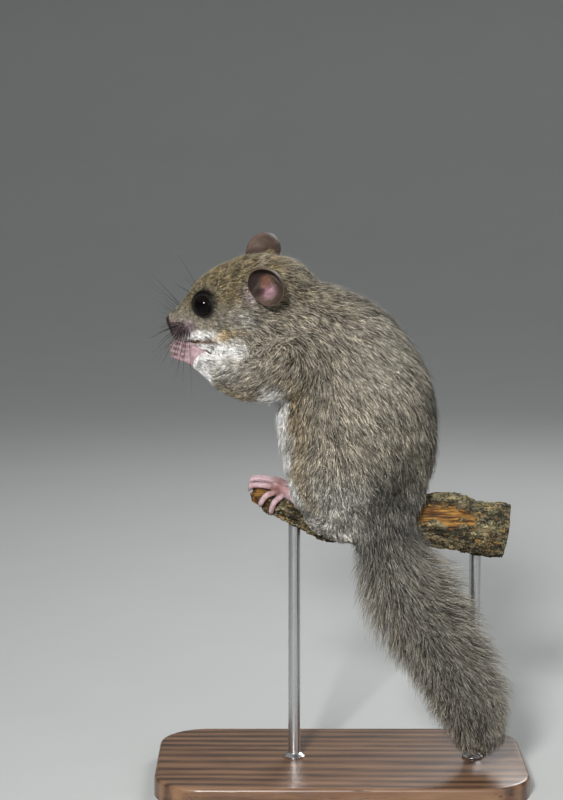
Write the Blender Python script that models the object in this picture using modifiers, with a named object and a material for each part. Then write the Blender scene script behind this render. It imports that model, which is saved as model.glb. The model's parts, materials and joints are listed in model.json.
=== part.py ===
"""Edible dormouse, life size, on a cut length of branch that a plain display stand holds up.

Metres, +Z up. The animal faces -X and its left side is towards -Y. The origin is the middle of
the underside of the stand's base. Tables of sections are in millimetres.
"""

import math
import random

import bmesh
import bpy
import numpy as np
from mathutils import Matrix, Vector
from mathutils.bvhtree import BVHTree

MM = 0.001
GAP = 0.32  # millimetres left between nodes that touch

TABLE_FLOOR = 4  # height of the floor in the tables of sections
BASE_SIZE = (150, 84, 8)
BASE_CORNER = 20
ROD_RADIUS = 2.4
ROD_SINK = 5.5  # how far a rod goes into the base and into the branch
ROD_PLACES = {"stand_rod_front": -19, "stand_rod_rear": 54}

HEAD_CENTRE = (-44, -1, 198)
HEAD_PITCH = 16  # degrees, nose down
HEAD_ROLL = 19  # degrees, crown leaning to the animal's left
HEAD_YAW = 3  # degrees, nose to the animal's right
NECK_CUT = ((-29, 0, 190), (-0.93, 0, 0.37))  # a point of the cut and the way to the head
SHOULDER_CUT = ((-17, 0, 186), (-0.90, 0, 0.43))

EYE_RADIUS = 4.2
EYE_PLACE = (9.2, 7.4, 6.3)  # forward, left and up from the head's centre
EYE_AIM = (0.55, 0.80, 0.24)
LID_HEIGHT = 1.8  # from the eye's centre out to the plane of the lids
LID_RADIUS = 4.75
LID_THICKNESS = 0.85

EAR_PLACE = (-17.0, 18.5, 11.2)
EAR_RADII = (7.7, 7.4, 5.1)
EAR_WALL = 0.85
EAR_AIM = (0.46, 0.84, 0.20)
EAR_BACK = 0.6  # where the back of the ear ends and its thin rim begins
EAR_MOUTH = 2.2
EAR_ROOT = (-13.0, 11.4, 8.2)
EAR_ROOT_RADII = (4.8, 3.2, 4.2)

# Forms of the head in its own frame: the middle (forward, left, up) and three radii.
CHEEK = ((0.5, 6.8, -5.2), (12, 7.2, 10.6))
BROW = ((9.5, 5.6, 5.4), (6.5, 5, 6.2))
WHISKER_PAD = ((20.8, 3.4, -4.2), (4.8, 3.9, 5.0))
EAR_MOUND = (EAR_ROOT, (5.4, 1.8, 4.4))
JAW = ((14.5, 0, -12.0), (8, 5.2, 4.2))
CHIN = ((3, 0, -13.5), (12, 9, 8.5))
THROAT = ((-6, 0, -12), (14, 12, 11))
NOSE = ((25.9, 0, 0.5), (1.9, 2.5, 2.0))
NOSTRIL = ((27.4, 1.25, 0.2), (1.1, 0.55, 0.6))

MOUTH_MIDDLE = (14.0, 0, -9.4)
MOUTH_DROP = 2.4  # how far the corners lie below the middle
MOUTH_RADIUS = 0.55
LIP_DROP = 1.3  # from the line of the mouth down to the lower lip
LIP_RADIUS = 0.8

# Sections from the neck to the rump: x, y, z, half width, half height.
TORSO = (
    (-34, -1, 196, 13.5, 17),
    (-24, -1, 192.5, 15.5, 19.3),
    (-14, -1, 186.5, 18.5, 22.5),
    (-4.5, -1, 179.5, 21.5, 26.5),
    (1, -1, 171, 24, 29.5),
    (5, -1, 160, 26.5, 32),
    (6.3, -1.5, 149, 28, 32.4),
    (7.2, -2.2, 138, 28, 31.2),
    (8, -3.2, 129, 27, 29.3),
    (8.8, -4.6, 121, 24, 26.8),
    (12, -7.6, 113, 16, 20),
)

# Sections of the head in its own frame: forward, up, half width, half height.
HEAD = (
    (26.9, 0.2, 1.8, 1.7),
    (25, -0.6, 4.3, 4.7),
    (21, -1.6, 6.3, 7.8),
    (16, -1.9, 8.2, 10.9),
    (11, -1.6, 10.4, 13.6),
    (4, -0.6, 13.4, 16.4),
    (-4, -0.2, 15.2, 18.0),
    (-12, -0.6, 15.9, 18.6),
    (-20, -3.4, 15.2, 17.2),
    (-25, -7.2, 13.2, 14.0),
)

# The left arm from shoulder to wrist and the left leg from hip to ankle.
ARM = (
    (-10, -14, 179, 11, 13),
    (-23, -16, 173.5, 9.5, 12),
    (-36, -14.4, 169.5, 8, 9),
    (-46, -10.4, 171, 6.6, 7.2),
    (-54, -6.6, 174.8, 3.5, 3.8),
)
LEG = (
    (16, -16, 138, 14, 17),
    (4, -19.5, 134, 13.5, 18.5),
    (-8, -18.5, 130, 11, 15),
    (-12.5, -15.5, 124, 8, 9.5),
    (-13, -12, 119.5, 5, 5),
)
SHIN = (3, -17.5, 123)
SHIN_RADII = (17, 9.5, 12)
CHEST = ((-21, -1, 167.5), (13, 14, 10.5))
RUMP = ((15, -12.5, 112), (16, 10, 11))

# The left hand from wrist to knuckles, and one finger from its knuckle to its tip.
PALM = (
    (-54.2, -6.5, 175.0, 2.6, 3.4),
    (-57.2, -5.4, 176.9, 2.2, 4.2),
    (-60.2, -4.2, 178.6, 1.7, 4.2),
)
FINGER = ((0, 0, 0, 1.2), (-3.6, 0.0, 0.8, 1.05), (-5.9, 1.2, 1.7, 0.95), (-7.4, 2.4, 2.2, 0.5))
FINGER_ROW = (0.25, 0.22, 0.94)  # the way from the lowest finger to the top one
FINGER_PITCH = 2.05

# The left foot on the branch: x, degrees from the branch's top, height, half width, half height.
FOOT = (
    (-10.5, 58, 2.2, 2.6, 2.4),
    (-16.5, 52, 2.0, 2.8, 2.3),
    (-22, 44, 1.8, 3.4, 2.1),
    (-27, 38, 1.5, 3.8, 1.8),
)
# Toes in the same way: x, degrees, height, radius.
TOES = (
    ((-20, 26, 1.6, 1.2), (-24, 16, 1.5, 1.15), (-27.5, 14, 1.2, 1.0), (-29.6, 14, 0.9, 0.5)),
    ((-26, 24, 1.4, 1.3), (-31, 18, 1.4, 1.2), (-35.6, 19, 0.4, 1.1), (-37.2, 21, -3.2, 0.55)),
    ((-26, 40, 1.4, 1.3), (-31, 46, 1.4, 1.2), (-35.8, 52, 0.1, 1.1), (-37.0, 56, -3.0, 0.55)),
    ((-26, 52, 1.4, 1.3), (-30, 78, 1.4, 1.2), (-32.2, 112, 1.2, 1.1), (-32.8, 140, 0.9, 0.55)),
    ((-24, 58, 1.4, 1.3), (-27, 90, 1.4, 1.2), (-28.2, 126, 1.2, 1.1), (-28.4, 152, 0.9, 0.55)),
)

# Sections of the branch from its gnawed tip to the sawn end: x, y, z, radius.
PERCH = (
    (-34.5, 0, 122.6, 4.9),
    (-28, 0, 119.8, 5.7),
    (-17, 0, 114.8, 6.6),
    (-2, 0, 110.2, 8.2),
    (16, 0, 109.8, 9.3),
    (34, 0, 110.8, 10.0),
    (50, 0, 108.4, 10.4),
    (66, 0, 105.8, 11.0),
)

# The tail from root to tip: x, y, z, then half thickness and half width to the hair's tips.
TAIL = (
    (17.5, -14.5, 107, 9, 16),
    (21.2, -18.5, 94, 10, 19.2),
    (27, -19, 81, 10.5, 20.4),
    (34, -18, 70, 10.5, 20.2),
    (41, -17, 58.5, 10.5, 19),
    (48, -16, 46, 10, 18),
    (52.5, -15.5, 35.5, 9, 16.5),
    (55, -15, 27, 7.5, 12),
)
TAIL_TIP = 11.5  # how far the hair reaches past the last section
CORE_REACH = 0.47  # the solid core's share of the way out to the tips

LOCKS_ROUND = 7
LOCK_ROWS = 11
LOCK_ADVANCE = 22  # how far a lock runs along the tail
LAST_ROOT = 6  # from the last row of roots back to the last section
# Share of the way along, share of the way out, half width and thickness.
LOCK = (
    (0.0, 0.24, 2.6, 1.2),
    (0.3, 0.66, 5.0, 1.6),
    (0.66, 0.88, 4.4, 1.3),
    (0.9, 0.96, 2.2, 0.8),
    (1.0, 1.0, 0, 0),
)


def clear_scene():
    for obj in list(bpy.data.objects):
        bpy.data.objects.remove(obj)


def new_collection(name):
    made = bpy.data.collections.new(name)
    bpy.context.scene.collection.children.link(made)
    return made


def new_material(name, colour, roughness, metallic=0.0):
    made = bpy.data.materials.new(name)
    made.use_nodes = True
    shader = made.node_tree.nodes["Principled BSDF"]
    shader.inputs["Base Color"].default_value = (*colour, 1)
    shader.inputs["Roughness"].default_value = roughness
    shader.inputs["Metallic"].default_value = metallic
    return made


def helper(bm):
    """A working object in the collection that the render leaves out."""
    bmesh.ops.recalc_face_normals(bm, faces=bm.faces)
    mesh = bpy.data.meshes.new("helper")
    bm.to_mesh(mesh)
    bm.free()
    obj = bpy.data.objects.new("helper", mesh)
    CUTTERS.objects.link(obj)
    obj.hide_render = True
    obj.display_type = "WIRE"
    return obj


def copied(obj):
    bm = bmesh.new()
    bm.from_mesh(obj.data)
    return helper(bm)


def drop(*objects):
    for obj in objects:
        bpy.data.objects.remove(obj)


def ellipsoid(centre, radii, turn=None, sides=24):
    """An oval ball, its radii along the columns of a 3x3 turn."""
    bm = bmesh.new()
    bmesh.ops.create_uvsphere(bm, u_segments=sides, v_segments=sides // 2, radius=MM)
    place = Matrix.Translation(Vector(centre) * MM) @ (turn or Matrix.Identity(3)).to_4x4()
    bmesh.ops.transform(bm, matrix=place @ Matrix.Diagonal((*radii, 1)), verts=bm.verts)
    return helper(bm)


def curve_through(stations, steps):
    """Rows on a smooth curve through the rows of a table."""
    rows = np.array(stations, float)
    rows = np.vstack([2 * rows[0] - rows[1], rows, 2 * rows[-1] - rows[-2]])
    made = []
    for before, start, end, after in zip(rows, rows[1:], rows[2:], rows[3:]):
        for t in np.linspace(0, 1, steps, endpoint=False):
            square = (2 * before - 5 * start + 4 * end - after) * t**2
            cube = (3 * start - before - 3 * end + after) * t**3
            made.append(start + (end - before) * t / 2 + (square + cube) / 2)
    made.append(rows[-2])
    return np.array(made)


def section_frames(rows, lateral):
    """The centre and the cross directions of each row, carried along without twisting."""
    tangents = np.gradient(rows[:, :3], axis=0)
    across = Vector(lateral)
    frames = []
    for row, tangent in zip(rows, tangents):
        along = Vector(tangent).normalized()
        across = (across - along * across.dot(along)).normalized()
        frames.append((Vector(row[:3]), along, across, along.cross(across)))
    return frames


def loft(stations, sides=24, steps=3, lateral=(0, 1, 0), domes=(True, True)):
    """A closed tube round oval sections: x, y, z, half width across and half height."""
    rows = curve_through(stations, steps)
    rings = []
    for row, (centre, along, across, upward) in zip(rows, section_frames(rows, lateral)):
        rings.append((centre, along, across * row[3], upward * row[4]))
    start = dome(rings[0], -1) if domes[0] else []
    end = dome(rings[-1], 1) if domes[1] else []
    bm = bmesh.new()
    loops = []
    for centre, _, across, upward in start[::-1] + rings + end:
        loop = []
        for k in range(sides):
            angle = 2 * math.pi * k / sides
            offset = across * math.cos(angle) + upward * math.sin(angle)
            loop.append(bm.verts.new((centre + offset) * MM))
        loops.append(loop)
    for lower, upper in zip(loops, loops[1:]):
        for k in range(sides):
            after = (k + 1) % sides
            bm.faces.new((lower[k], lower[after], upper[after], upper[k]))
    bm.faces.new(loops[0])
    bm.faces.new(loops[-1])
    return helper(bm)


def dome(ring, way):
    """Smaller rings that round off the end of a loft."""
    centre, along, across, upward = ring
    reach = 0.75 * min(across.length, upward.length)
    made = []
    for degrees in (30, 58, 80):
        angle = math.radians(degrees)
        scale = math.cos(angle)
        middle = centre + along * way * reach * math.sin(angle)
        made.append((middle, along, across * scale, upward * scale))
    return made


def applied(obj):
    """Replaces the object's mesh with what its modifiers make of it."""
    graph = bpy.context.evaluated_depsgraph_get()
    graph.update()
    mesh = bpy.data.meshes.new_from_object(obj.evaluated_get(graph))
    obj.modifiers.clear()
    obj.data = mesh
    return obj


def joined(pieces):
    """One object of several closed pieces that may overlap. The pieces are removed."""
    bm = bmesh.new()
    for piece in pieces:
        bm.from_mesh(piece.data)
    drop(*pieces)
    return helper(bm)


def fused(pieces, voxel, smoothing, triangles):
    """One closed surface round all the pieces, its creases rounded and its faces thinned out."""
    obj = joined(pieces)
    remesh = obj.modifiers.new("Surface", "REMESH")
    remesh.mode = "VOXEL"
    remesh.voxel_size = voxel * MM
    rounding = obj.modifiers.new("Round", "SMOOTH")
    rounding.factor = 0.5
    rounding.iterations = smoothing
    return thinned(applied(obj), triangles)


def thinned(obj, triangles):
    obj.data.calc_loop_triangles()
    decimate = obj.modifiers.new("Thin", "DECIMATE")
    decimate.ratio = min(1.0, triangles / len(obj.data.loop_triangles))
    return applied(obj)


def boolean(obj, operation, other, solver="MANIFOLD"):
    """EXACT loses whole pieces where the body's faces lie close along a cutter's."""
    modifier = obj.modifiers.new("Boolean", "BOOLEAN")
    modifier.operation = operation
    modifier.object = other
    modifier.solver = solver
    return applied(obj)


def united(obj, *others):
    for other in others:
        boolean(obj, "UNION", other)
    drop(*others)
    return obj


def cut(obj, *others, solver="MANIFOLD"):
    for other in others:
        boolean(obj, "DIFFERENCE", other, solver)
    drop(*others)
    return obj


def largest(obj):
    """Keeps only the largest closed surface of the object."""
    bm = bmesh.new()
    bm.from_mesh(obj.data)
    left = set(bm.verts)
    islands = []
    while left:
        stack = [left.pop()]
        island = list(stack)
        while stack:
            vert = stack.pop()
            for edge in vert.link_edges:
                other = edge.other_vert(vert)
                if other in left:
                    left.discard(other)
                    island.append(other)
                    stack.append(other)
        islands.append(island)
    islands.sort(key=len)
    spare = [vert for island in islands[:-1] for vert in island]
    bmesh.ops.delete(bm, geom=spare, context="VERTS")
    bm.to_mesh(obj.data)
    bm.free()
    return obj


def grown(obj, distance=GAP):
    """A cutter that stands the given distance outside the object."""
    cutter = copied(obj)
    bm = bmesh.new()
    bm.from_mesh(cutter.data)
    bm.normal_update()
    places = [v.co + v.normal * v.calc_shell_factor() * distance * MM for v in bm.verts]
    for vert, place in zip(bm.verts, places):
        vert.co = place
    bm.to_mesh(cutter.data)
    bm.free()
    return cutter


def clear_of(obj, *others, solver="MANIFOLD"):
    """Cuts the object back to the gap that it keeps from its neighbours."""
    for other in others:
        cut(obj, grown(other), solver=solver)
    return largest(obj)


def split_off(whole, region):
    """The part of the whole inside the region. The whole keeps the rest, a thin cut away."""
    piece = boolean(copied(whole), "INTERSECT", region)
    cut(whole, grown(region))
    drop(region)
    largest(whole)
    return largest(piece)


def half_space(point, normal, size=140):
    """A large block that fills one side of the plane through the point."""
    bm = bmesh.new()
    bmesh.ops.create_cube(bm, size=size * MM)
    way = Vector(normal).normalized()
    centre = (Vector(point) + way * size / 2) * MM
    place = Matrix.Translation(centre) @ way.to_track_quat("Z", "Y").to_matrix().to_4x4()
    bmesh.ops.transform(bm, matrix=place, verts=bm.verts)
    return helper(bm)


def head_frame():
    """The turn and the centre that take forward, left and up of the head to the model."""
    pitch, roll, yaw = (math.radians(angle) for angle in (HEAD_PITCH, HEAD_ROLL, HEAD_YAW))
    forward = Vector((-math.cos(pitch), 0, -math.sin(pitch)))
    crown = Vector((-math.sin(pitch), 0, math.cos(pitch)))
    side = Vector((0, -1, 0))
    up = crown * math.cos(roll) + side * math.sin(roll)
    left = side * math.cos(roll) - crown * math.sin(roll)
    turn = Matrix.Rotation(-yaw, 3, "Z") @ Matrix((forward, left, up)).transposed()
    return turn, Vector(HEAD_CENTRE)


def on_head(place, side=1):
    """A point of the head's own frame, on the left (1) or the right (-1)."""
    forward, left, up = place
    turn, centre = head_frame()
    return centre + turn @ Vector((forward, left * side, up))


def aimed(direction, side=1):
    """A turn that takes +Z to a direction of the head's own frame."""
    forward, left, up = direction
    way = head_frame()[0] @ Vector((forward, left * side, up))
    return way.to_track_quat("Z", "Y").to_matrix()


def chest_plane(x, z):
    """The y of the plane between the arms, which leans with the head towards the right."""
    return -1 - 0.062 * (x + 15)


def hip_plane(x, z):
    """The y of the plane between the legs: the pelvis is turned, and the feet are not."""
    return -3 + 0.15 * (139 - z)


def on_side(stations, side, plane):
    """Stations of a left limb, or the same on the right."""
    if side == 1:
        return stations
    return tuple((x, 2 * plane(x, z) - y, z, *rest) for x, y, z, *rest in stations)


def head_forms():
    """Skull, cheeks, brows, whisker pads, jaw and throat."""
    turn, _ = head_frame()
    sections = [(*on_head((forward, 0, up)), width, height) for forward, up, width, height in HEAD]
    forms = [loft(sections, sides=32, lateral=turn @ Vector((0, 1, 0)))]
    for side in (1, -1):
        for place, radii in (CHEEK, BROW, WHISKER_PAD, EAR_MOUND):
            forms.append(ellipsoid(on_head(place, side), radii, turn))
    for place, radii in (JAW, CHIN, THROAT):
        forms.append(ellipsoid(on_head(place), radii, turn))
    return forms


def arm_form(side, extra=0.0):
    stations = [(x, y, z, w + extra, h + extra) for x, y, z, w, h in ARM]
    sides, steps = (14, 1) if extra else (24, 3)
    return loft(on_side(stations, side, chest_plane), sides, steps, lateral=(0, 1, 0.2))


def leg_forms(side, extra=0.0):
    stations = [(x, y, z, w + extra, h + extra) for x, y, z, w, h in LEG]
    shin = on_side((SHIN,), side, hip_plane)[0]
    thigh = loft(on_side(stations, side, hip_plane))
    return [thigh, ellipsoid(shin, [radius + extra for radius in SHIN_RADII])]


def body_form():
    """The whole body but its hands, feet, ears and tail, as one rounded surface."""
    forms = head_forms()
    forms.append(loft(TORSO, sides=36))
    forms.append(ellipsoid(*CHEST))
    forms.append(ellipsoid(*RUMP))
    for side in (1, -1):
        forms.append(arm_form(side))
        forms += leg_forms(side)
    return fused(forms, voxel=0.7, smoothing=10, triangles=3300)


def eye_form(side):
    return ellipsoid(on_head(EYE_PLACE, side), (EYE_RADIUS,) * 3, aimed(EYE_AIM, side), sides=14)


def lid_ring(side):
    """The two lids, a rim round the eye that stands a little off the fur."""
    turn = aimed(EYE_AIM, side)
    centre = on_head(EYE_PLACE, side) + turn @ Vector((0, 0, LID_HEIGHT))
    points = []
    for k in range(16):
        angle = 2 * math.pi * k / 16
        rim = turn @ Vector((LID_RADIUS * math.cos(angle), LID_RADIUS * math.sin(angle), 0))
        points.append((centre + rim) * MM)
    return ring_tube(points, LID_THICKNESS)


def ring_tube(points, radius, sides=6):
    """A closed ring of a round tube through the points."""
    centre = sum(points, Vector()) / len(points)
    normal = (points[0] - centre).cross(points[1] - centre).normalized()
    bm = bmesh.new()
    loops = []
    for point in points:
        outward = (point - centre).normalized()
        loop = []
        for k in range(sides):
            angle = 2 * math.pi * k / sides
            offset = outward * math.cos(angle) + normal * math.sin(angle)
            loop.append(bm.verts.new(point + offset * radius * MM))
        loops.append(loop)
    for here, there in zip(loops, loops[1:] + loops[:1]):
        for k in range(sides):
            after = (k + 1) % sides
            bm.faces.new((here[k], here[after], there[after], there[k]))
    return helper(bm)


def mouth_path(head, drop=0.0, half_turn=100):
    """Points on the muzzle's skin along the mouth, from the right corner round to the left."""
    bm = bmesh.new()
    bm.from_mesh(head.data)
    surface = BVHTree.FromBMesh(bm)
    bm.free()
    turn, _ = head_frame()
    forward, left, up = MOUTH_MIDDLE
    points = []
    for share in np.linspace(-1, 1, 13):
        angle = math.radians(half_turn * share)
        start = on_head((forward, left, up - drop - MOUTH_DROP * share**2)) * MM
        way = turn @ Vector((math.cos(angle), math.sin(angle), -0.10))
        hit = surface.ray_cast(start + way * 30 * MM, -way)
        points.append(hit[0])
    return points


def mouth_tube(points, radius, sink):
    """A tube along the mouth, its middle sunk below the skin, thin at the two corners."""
    centre = sum(points, Vector()) / len(points)
    stations = []
    for k, point in enumerate(points):
        inward = (centre - point).normalized() * sink * MM
        slim = radius * (0.6 + 0.4 * math.sin(math.pi * k / (len(points) - 1)))
        stations.append((*((point + inward) / MM), slim, slim))
    return loft(stations, sides=6, steps=1, lateral=(0, 0.2, 1))


def nose_forms(head):
    """Adds the nose pad and the lower lip, and opens the nostrils and the mouth's line."""
    turn, _ = head_frame()
    line = mouth_path(head)
    lip = mouth_path(head, LIP_DROP, half_turn=88)
    united(head, ellipsoid(on_head(NOSE[0]), NOSE[1], turn, sides=14))
    united(head, mouth_tube(lip, LIP_RADIUS, sink=0.35))
    cut(head, mouth_tube(line, MOUTH_RADIUS, sink=0.1))
    for side in (1, -1):
        cut(head, ellipsoid(on_head(NOSTRIL[0], side), NOSTRIL[1], turn, sides=10))


def ear_form(side):
    """A thin cup with a short solid root, open forwards and outwards."""
    turn = aimed(EAR_AIM, side)
    way = turn @ Vector((0, 0, 1))
    centre = on_head(EAR_PLACE, side)
    ear = cut(ellipsoid(centre, EAR_RADII, turn, sides=16), half_space(centre + way * EAR_BACK, way))
    united(ear, ellipsoid(on_head(EAR_ROOT, side), EAR_ROOT_RADII, head_frame()[0], sides=10))
    cup = [radius - EAR_WALL for radius in EAR_RADII]
    cut(ear, ellipsoid(centre, cup, turn, sides=14))
    return cut(ear, half_space(centre + way * EAR_MOUTH, way))


def hand_form(side):
    """Palm, four fingers and the stub of a thumb."""
    forms = [loft(on_side(PALM, side, chest_plane), sides=14, steps=2, lateral=(0, 1, 0.2))]
    knuckle = Vector(PALM[-1][:3])
    row = Vector(FINGER_ROW)
    for k in range(4):
        base = knuckle + row * FINGER_PITCH * (1.5 - k)
        stretch = 1.0 - 0.12 * abs(k - 1.4)
        stations = [(*(base + Vector(place) * stretch), radius, radius) for *place, radius in FINGER]
        forms.append(loft(on_side(stations, side, chest_plane), sides=10, steps=2))
    thumb = [(-57.5, -3.4, 179.6, 1.1, 1.1), (-59.6, -2.2, 181.2, 0.8, 0.8)]
    forms.append(loft(on_side(thumb, side, chest_plane), sides=10, steps=2))
    return fused(forms, voxel=0.33, smoothing=2, triangles=330)


def perch_at(x):
    """The branch's middle and radius at a place along it."""
    rows = np.array(PERCH)
    return [float(np.interp(x, rows[:, 0], rows[:, k])) for k in (1, 2, 3)]


def off_perch(x, degrees, height):
    """A point above the bark, by its angle from the top of the branch towards the left."""
    middle_y, middle_z, radius = perch_at(x)
    angle = math.radians(degrees)
    reach = radius + height
    return x, middle_y - reach * math.sin(angle), middle_z + reach * math.cos(angle)


def foot_form(side):
    """Heel, sole and five toes that close round the tip of the branch."""
    sole = [(*off_perch(x, side * degrees, height), *size) for x, degrees, height, *size in FOOT]
    forms = [loft(sole, sides=14, steps=2, lateral=(0, 0.8, -0.6 * side))]
    for toe in TOES:
        stations = []
        for x, degrees, height, radius in toe:
            stations.append((*off_perch(x, side * degrees, height), radius, radius))
        forms.append(loft(stations, sides=10, steps=3, lateral=(0.2, 1, 0.3)))
    return fused(forms, voxel=0.36, smoothing=2, triangles=370)


def perch_form():
    """The branch: round sections with long bark ridges and one swelling."""
    sections = [(x, y, z, radius, radius) for x, y, z, radius in PERCH]
    branch = loft(sections, sides=16, steps=2, domes=(False, False))
    branch.data.update()
    normals = [vert.normal.copy() for vert in branch.data.vertices]
    for vert, normal in zip(branch.data.vertices, normals):
        x, y, z = vert.co / MM
        ridge = math.sin(0.55 * x + 2 * math.sin(0.6 * y)) * math.cos(0.8 * z + 0.13 * x)
        knot = 1.3 * math.exp(-((x - 44) ** 2 + (z - 118) ** 2) / 40)
        vert.co += normal * (0.4 * ridge + knot) * MM
    return branch


def tail_axis():
    """Rows along the tail with their distance from its root, and the directions of each row."""
    rows = curve_through(TAIL, 5)
    lengths = np.linalg.norm(np.diff(rows[:, :3], axis=0), axis=1)
    distance = np.concatenate([[0], np.cumsum(lengths)])
    return distance, rows, section_frames(rows, (0, 1, 0))


def tail_point(axis, distance, angle, reach):
    """A place in the tail's coat: reach is 0 at the bones and 1 at the tips of the hair."""
    distances, rows, frames = axis
    inside = min(distance, distances[-1])
    past = distance - inside
    row = [float(np.interp(inside, distances, rows[:, k])) for k in range(5)]
    _, along, across, upward = frames[int(np.searchsorted(distances, inside))]
    shrink = math.sqrt(max(0.0, 1 - (past / TAIL_TIP) ** 2))
    side = across * row[3] * math.cos(angle) + upward * row[4] * math.sin(angle)
    return Vector(row[:3]) + along * past + side * reach * shrink


def tail_lock(axis, start, angle, advance):
    """A flat lock that leaves the bones, bends back along the tail and tapers to a point."""
    middles = [tail_point(axis, start + advance * share, angle, 0) for share, *_ in LOCK]
    path = [tail_point(axis, start + advance * share, angle, out) for share, out, *_ in LOCK]
    bm = bmesh.new()
    rings = []
    for k, (_, _, half_width, thickness) in enumerate(LOCK[:-1]):
        ahead = path[k + 1] - path[max(k - 1, 0)]
        wide = ahead.cross(path[k] - middles[k]).normalized()
        deep = wide.cross(ahead).normalized() * thickness
        corners = (wide * half_width, deep, -wide * half_width)
        rings.append([bm.verts.new((path[k] + corner) * MM) for corner in corners])
    tip = bm.verts.new(path[-1] * MM)
    for lower, upper in zip(rings, rings[1:]):
        for k in range(3):
            bm.faces.new((lower[k], lower[k - 2], upper[k - 2], upper[k]))
    bm.faces.new(rings[0])
    for k in range(3):
        bm.faces.new((rings[-1][k], rings[-1][k - 2], tip))
    return helper(bm)


def tail_form():
    """The tail: a core, and locks that overlap along it out to the tips of the hair."""
    core = loft([(*place, w * CORE_REACH, h * CORE_REACH) for *place, w, h in TAIL], 10, 2)
    axis = tail_axis()
    draw = random.Random(12)
    locks = bpy.data.collections.new("locks")
    for row in range(LOCK_ROWS):
        start = (axis[0][-1] - LAST_ROOT) * row / (LOCK_ROWS - 1)
        for k in range(LOCKS_ROUND):
            turn = 2 * math.pi * (k + 0.5 * (row % 2) + draw.uniform(-0.12, 0.12)) / LOCKS_ROUND
            place = max(start + draw.uniform(-1, 1), 0)
            locks.objects.link(tail_lock(axis, place, turn, LOCK_ADVANCE * draw.uniform(0.85, 1)))
    modifier = core.modifiers.new("Coat", "BOOLEAN")
    modifier.operation = "UNION"
    modifier.operand_type = "COLLECTION"
    modifier.collection = locks
    modifier.solver = "MANIFOLD"
    applied(core)
    drop(*locks.objects)
    bpy.data.collections.remove(locks)
    return largest(core)


def cylinder(centre, radius, low, high, sides=18):
    """An upright rod between two heights."""
    bm = bmesh.new()
    bmesh.ops.create_cone(
        bm,
        cap_ends=True,
        segments=sides,
        radius1=radius * MM,
        radius2=radius * MM,
        depth=(high - low) * MM,
    )
    place = Matrix.Translation(Vector((*centre, (low + high) / 2)) * MM)
    bmesh.ops.transform(bm, matrix=place, verts=bm.verts)
    return helper(bm)


def base_form():
    """A flat plate with round corners and a softened upper edge."""
    height = BASE_SIZE[2]
    bm = bmesh.new()
    bmesh.ops.create_cube(bm, size=MM)
    bmesh.ops.scale(bm, vec=BASE_SIZE, verts=bm.verts)
    bmesh.ops.translate(bm, vec=(0, 0, (TABLE_FLOOR + height / 2) * MM), verts=bm.verts)
    upright = [edge for edge in bm.edges if abs(edge.verts[0].co.z - edge.verts[1].co.z) > MM]
    bmesh.ops.bevel(
        bm, geom=upright, offset=BASE_CORNER * MM, segments=5, profile=0.5, affect="EDGES"
    )
    rim = (TABLE_FLOOR + height - 0.1) * MM
    top = [edge for edge in bm.edges if min(vert.co.z for vert in edge.verts) > rim]
    bmesh.ops.bevel(bm, geom=top, offset=1.5 * MM, segments=2, profile=0.5, affect="EDGES")
    return helper(bm)


def rod_form(x):
    """A rod from its socket in the base to its socket in the branch."""
    _, middle, radius = perch_at(x)
    foot = TABLE_FLOOR + BASE_SIZE[2] - ROD_SINK
    return cylinder((x, 0), ROD_RADIUS, foot, middle - radius + ROD_SINK)


def publish(name, obj, material, splitting="BEAUTY"):
    """Turns a working object into a node, with its origin at its own middle.

    The locks' faces have many sides, and EAR_CLIP splits them with no two cuts on one line.
    """
    node = largest(obj)
    bm = bmesh.new()
    bm.from_mesh(node.data)
    bmesh.ops.triangulate(bm, faces=bm.faces, ngon_method=splitting)
    centre = sum((v.co for v in bm.verts), Vector()) / len(bm.verts)
    bmesh.ops.translate(bm, vec=-centre, verts=bm.verts)
    mesh = bpy.data.meshes.new(name)
    bm.to_mesh(mesh)
    bm.free()
    drop(node)
    made = bpy.data.objects.new(name, mesh)
    DORMOUSE.objects.link(made)
    made.location = centre
    made.parent = ROOT
    mesh.materials.append(material)
    mesh.shade_smooth()
    mesh.set_sharp_from_angle(angle=math.radians(50))


clear_scene()
DORMOUSE = new_collection("edible_dormouse")
CUTTERS = new_collection("cutters")
ROOT = bpy.data.objects.new("stand_origin", None)
DORMOUSE.objects.link(ROOT)
ROOT.location.z = -TABLE_FLOOR * MM

fur = new_material("grey_brown_fur", (0.30, 0.26, 0.21), 0.9)
tail_fur = new_material("tail_fur", (0.24, 0.21, 0.19), 0.9)
skin = new_material("pink_skin", (0.72, 0.48, 0.46), 0.55)
ear_skin = new_material("ear_skin", (0.42, 0.25, 0.22), 0.6)
eye_black = new_material("eye_black", (0.01, 0.01, 0.012), 0.05)
bark = new_material("bark", (0.33, 0.24, 0.13), 0.9)
dark_wood = new_material("dark_wood", (0.13, 0.07, 0.04), 0.4)
steel = new_material("steel", (0.55, 0.55, 0.56), 0.3, metallic=1.0)

base = base_form()
perch = perch_form()
rods = {}
for rod_name, rod_x in ROD_PLACES.items():
    rods[rod_name] = rod_form(rod_x)
    cut(base, grown(rods[rod_name]))
    cut(perch, grown(rods[rod_name]))

body = clear_of(body_form(), perch)
tail = clear_of(tail_form(), body, perch, *rods.values())
feet = {side: clear_of(foot_form(side), perch, body, solver="EXACT") for side in (1, -1)}
arms = {side: split_off(body, arm_form(side, extra=1.3)) for side in (1, -1)}
legs = {}
for side in (1, -1):
    region = fused(leg_forms(side, extra=1.0), voxel=1.6, smoothing=4, triangles=180)
    legs[side] = split_off(body, region)
head = split_off(body, half_space(*NECK_CUT))
neck = split_off(body, half_space(*SHOULDER_CUT))

eyes = {side: eye_form(side) for side in (1, -1)}
nose_forms(head)
for side in (1, -1):
    united(head, lid_ring(side))
    cut(head, grown(eyes[side]))
ears = {side: clear_of(ear_form(side), head) for side in (1, -1)}
hands = {side: clear_of(hand_form(side), arms[side], head) for side in (1, -1)}

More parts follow.
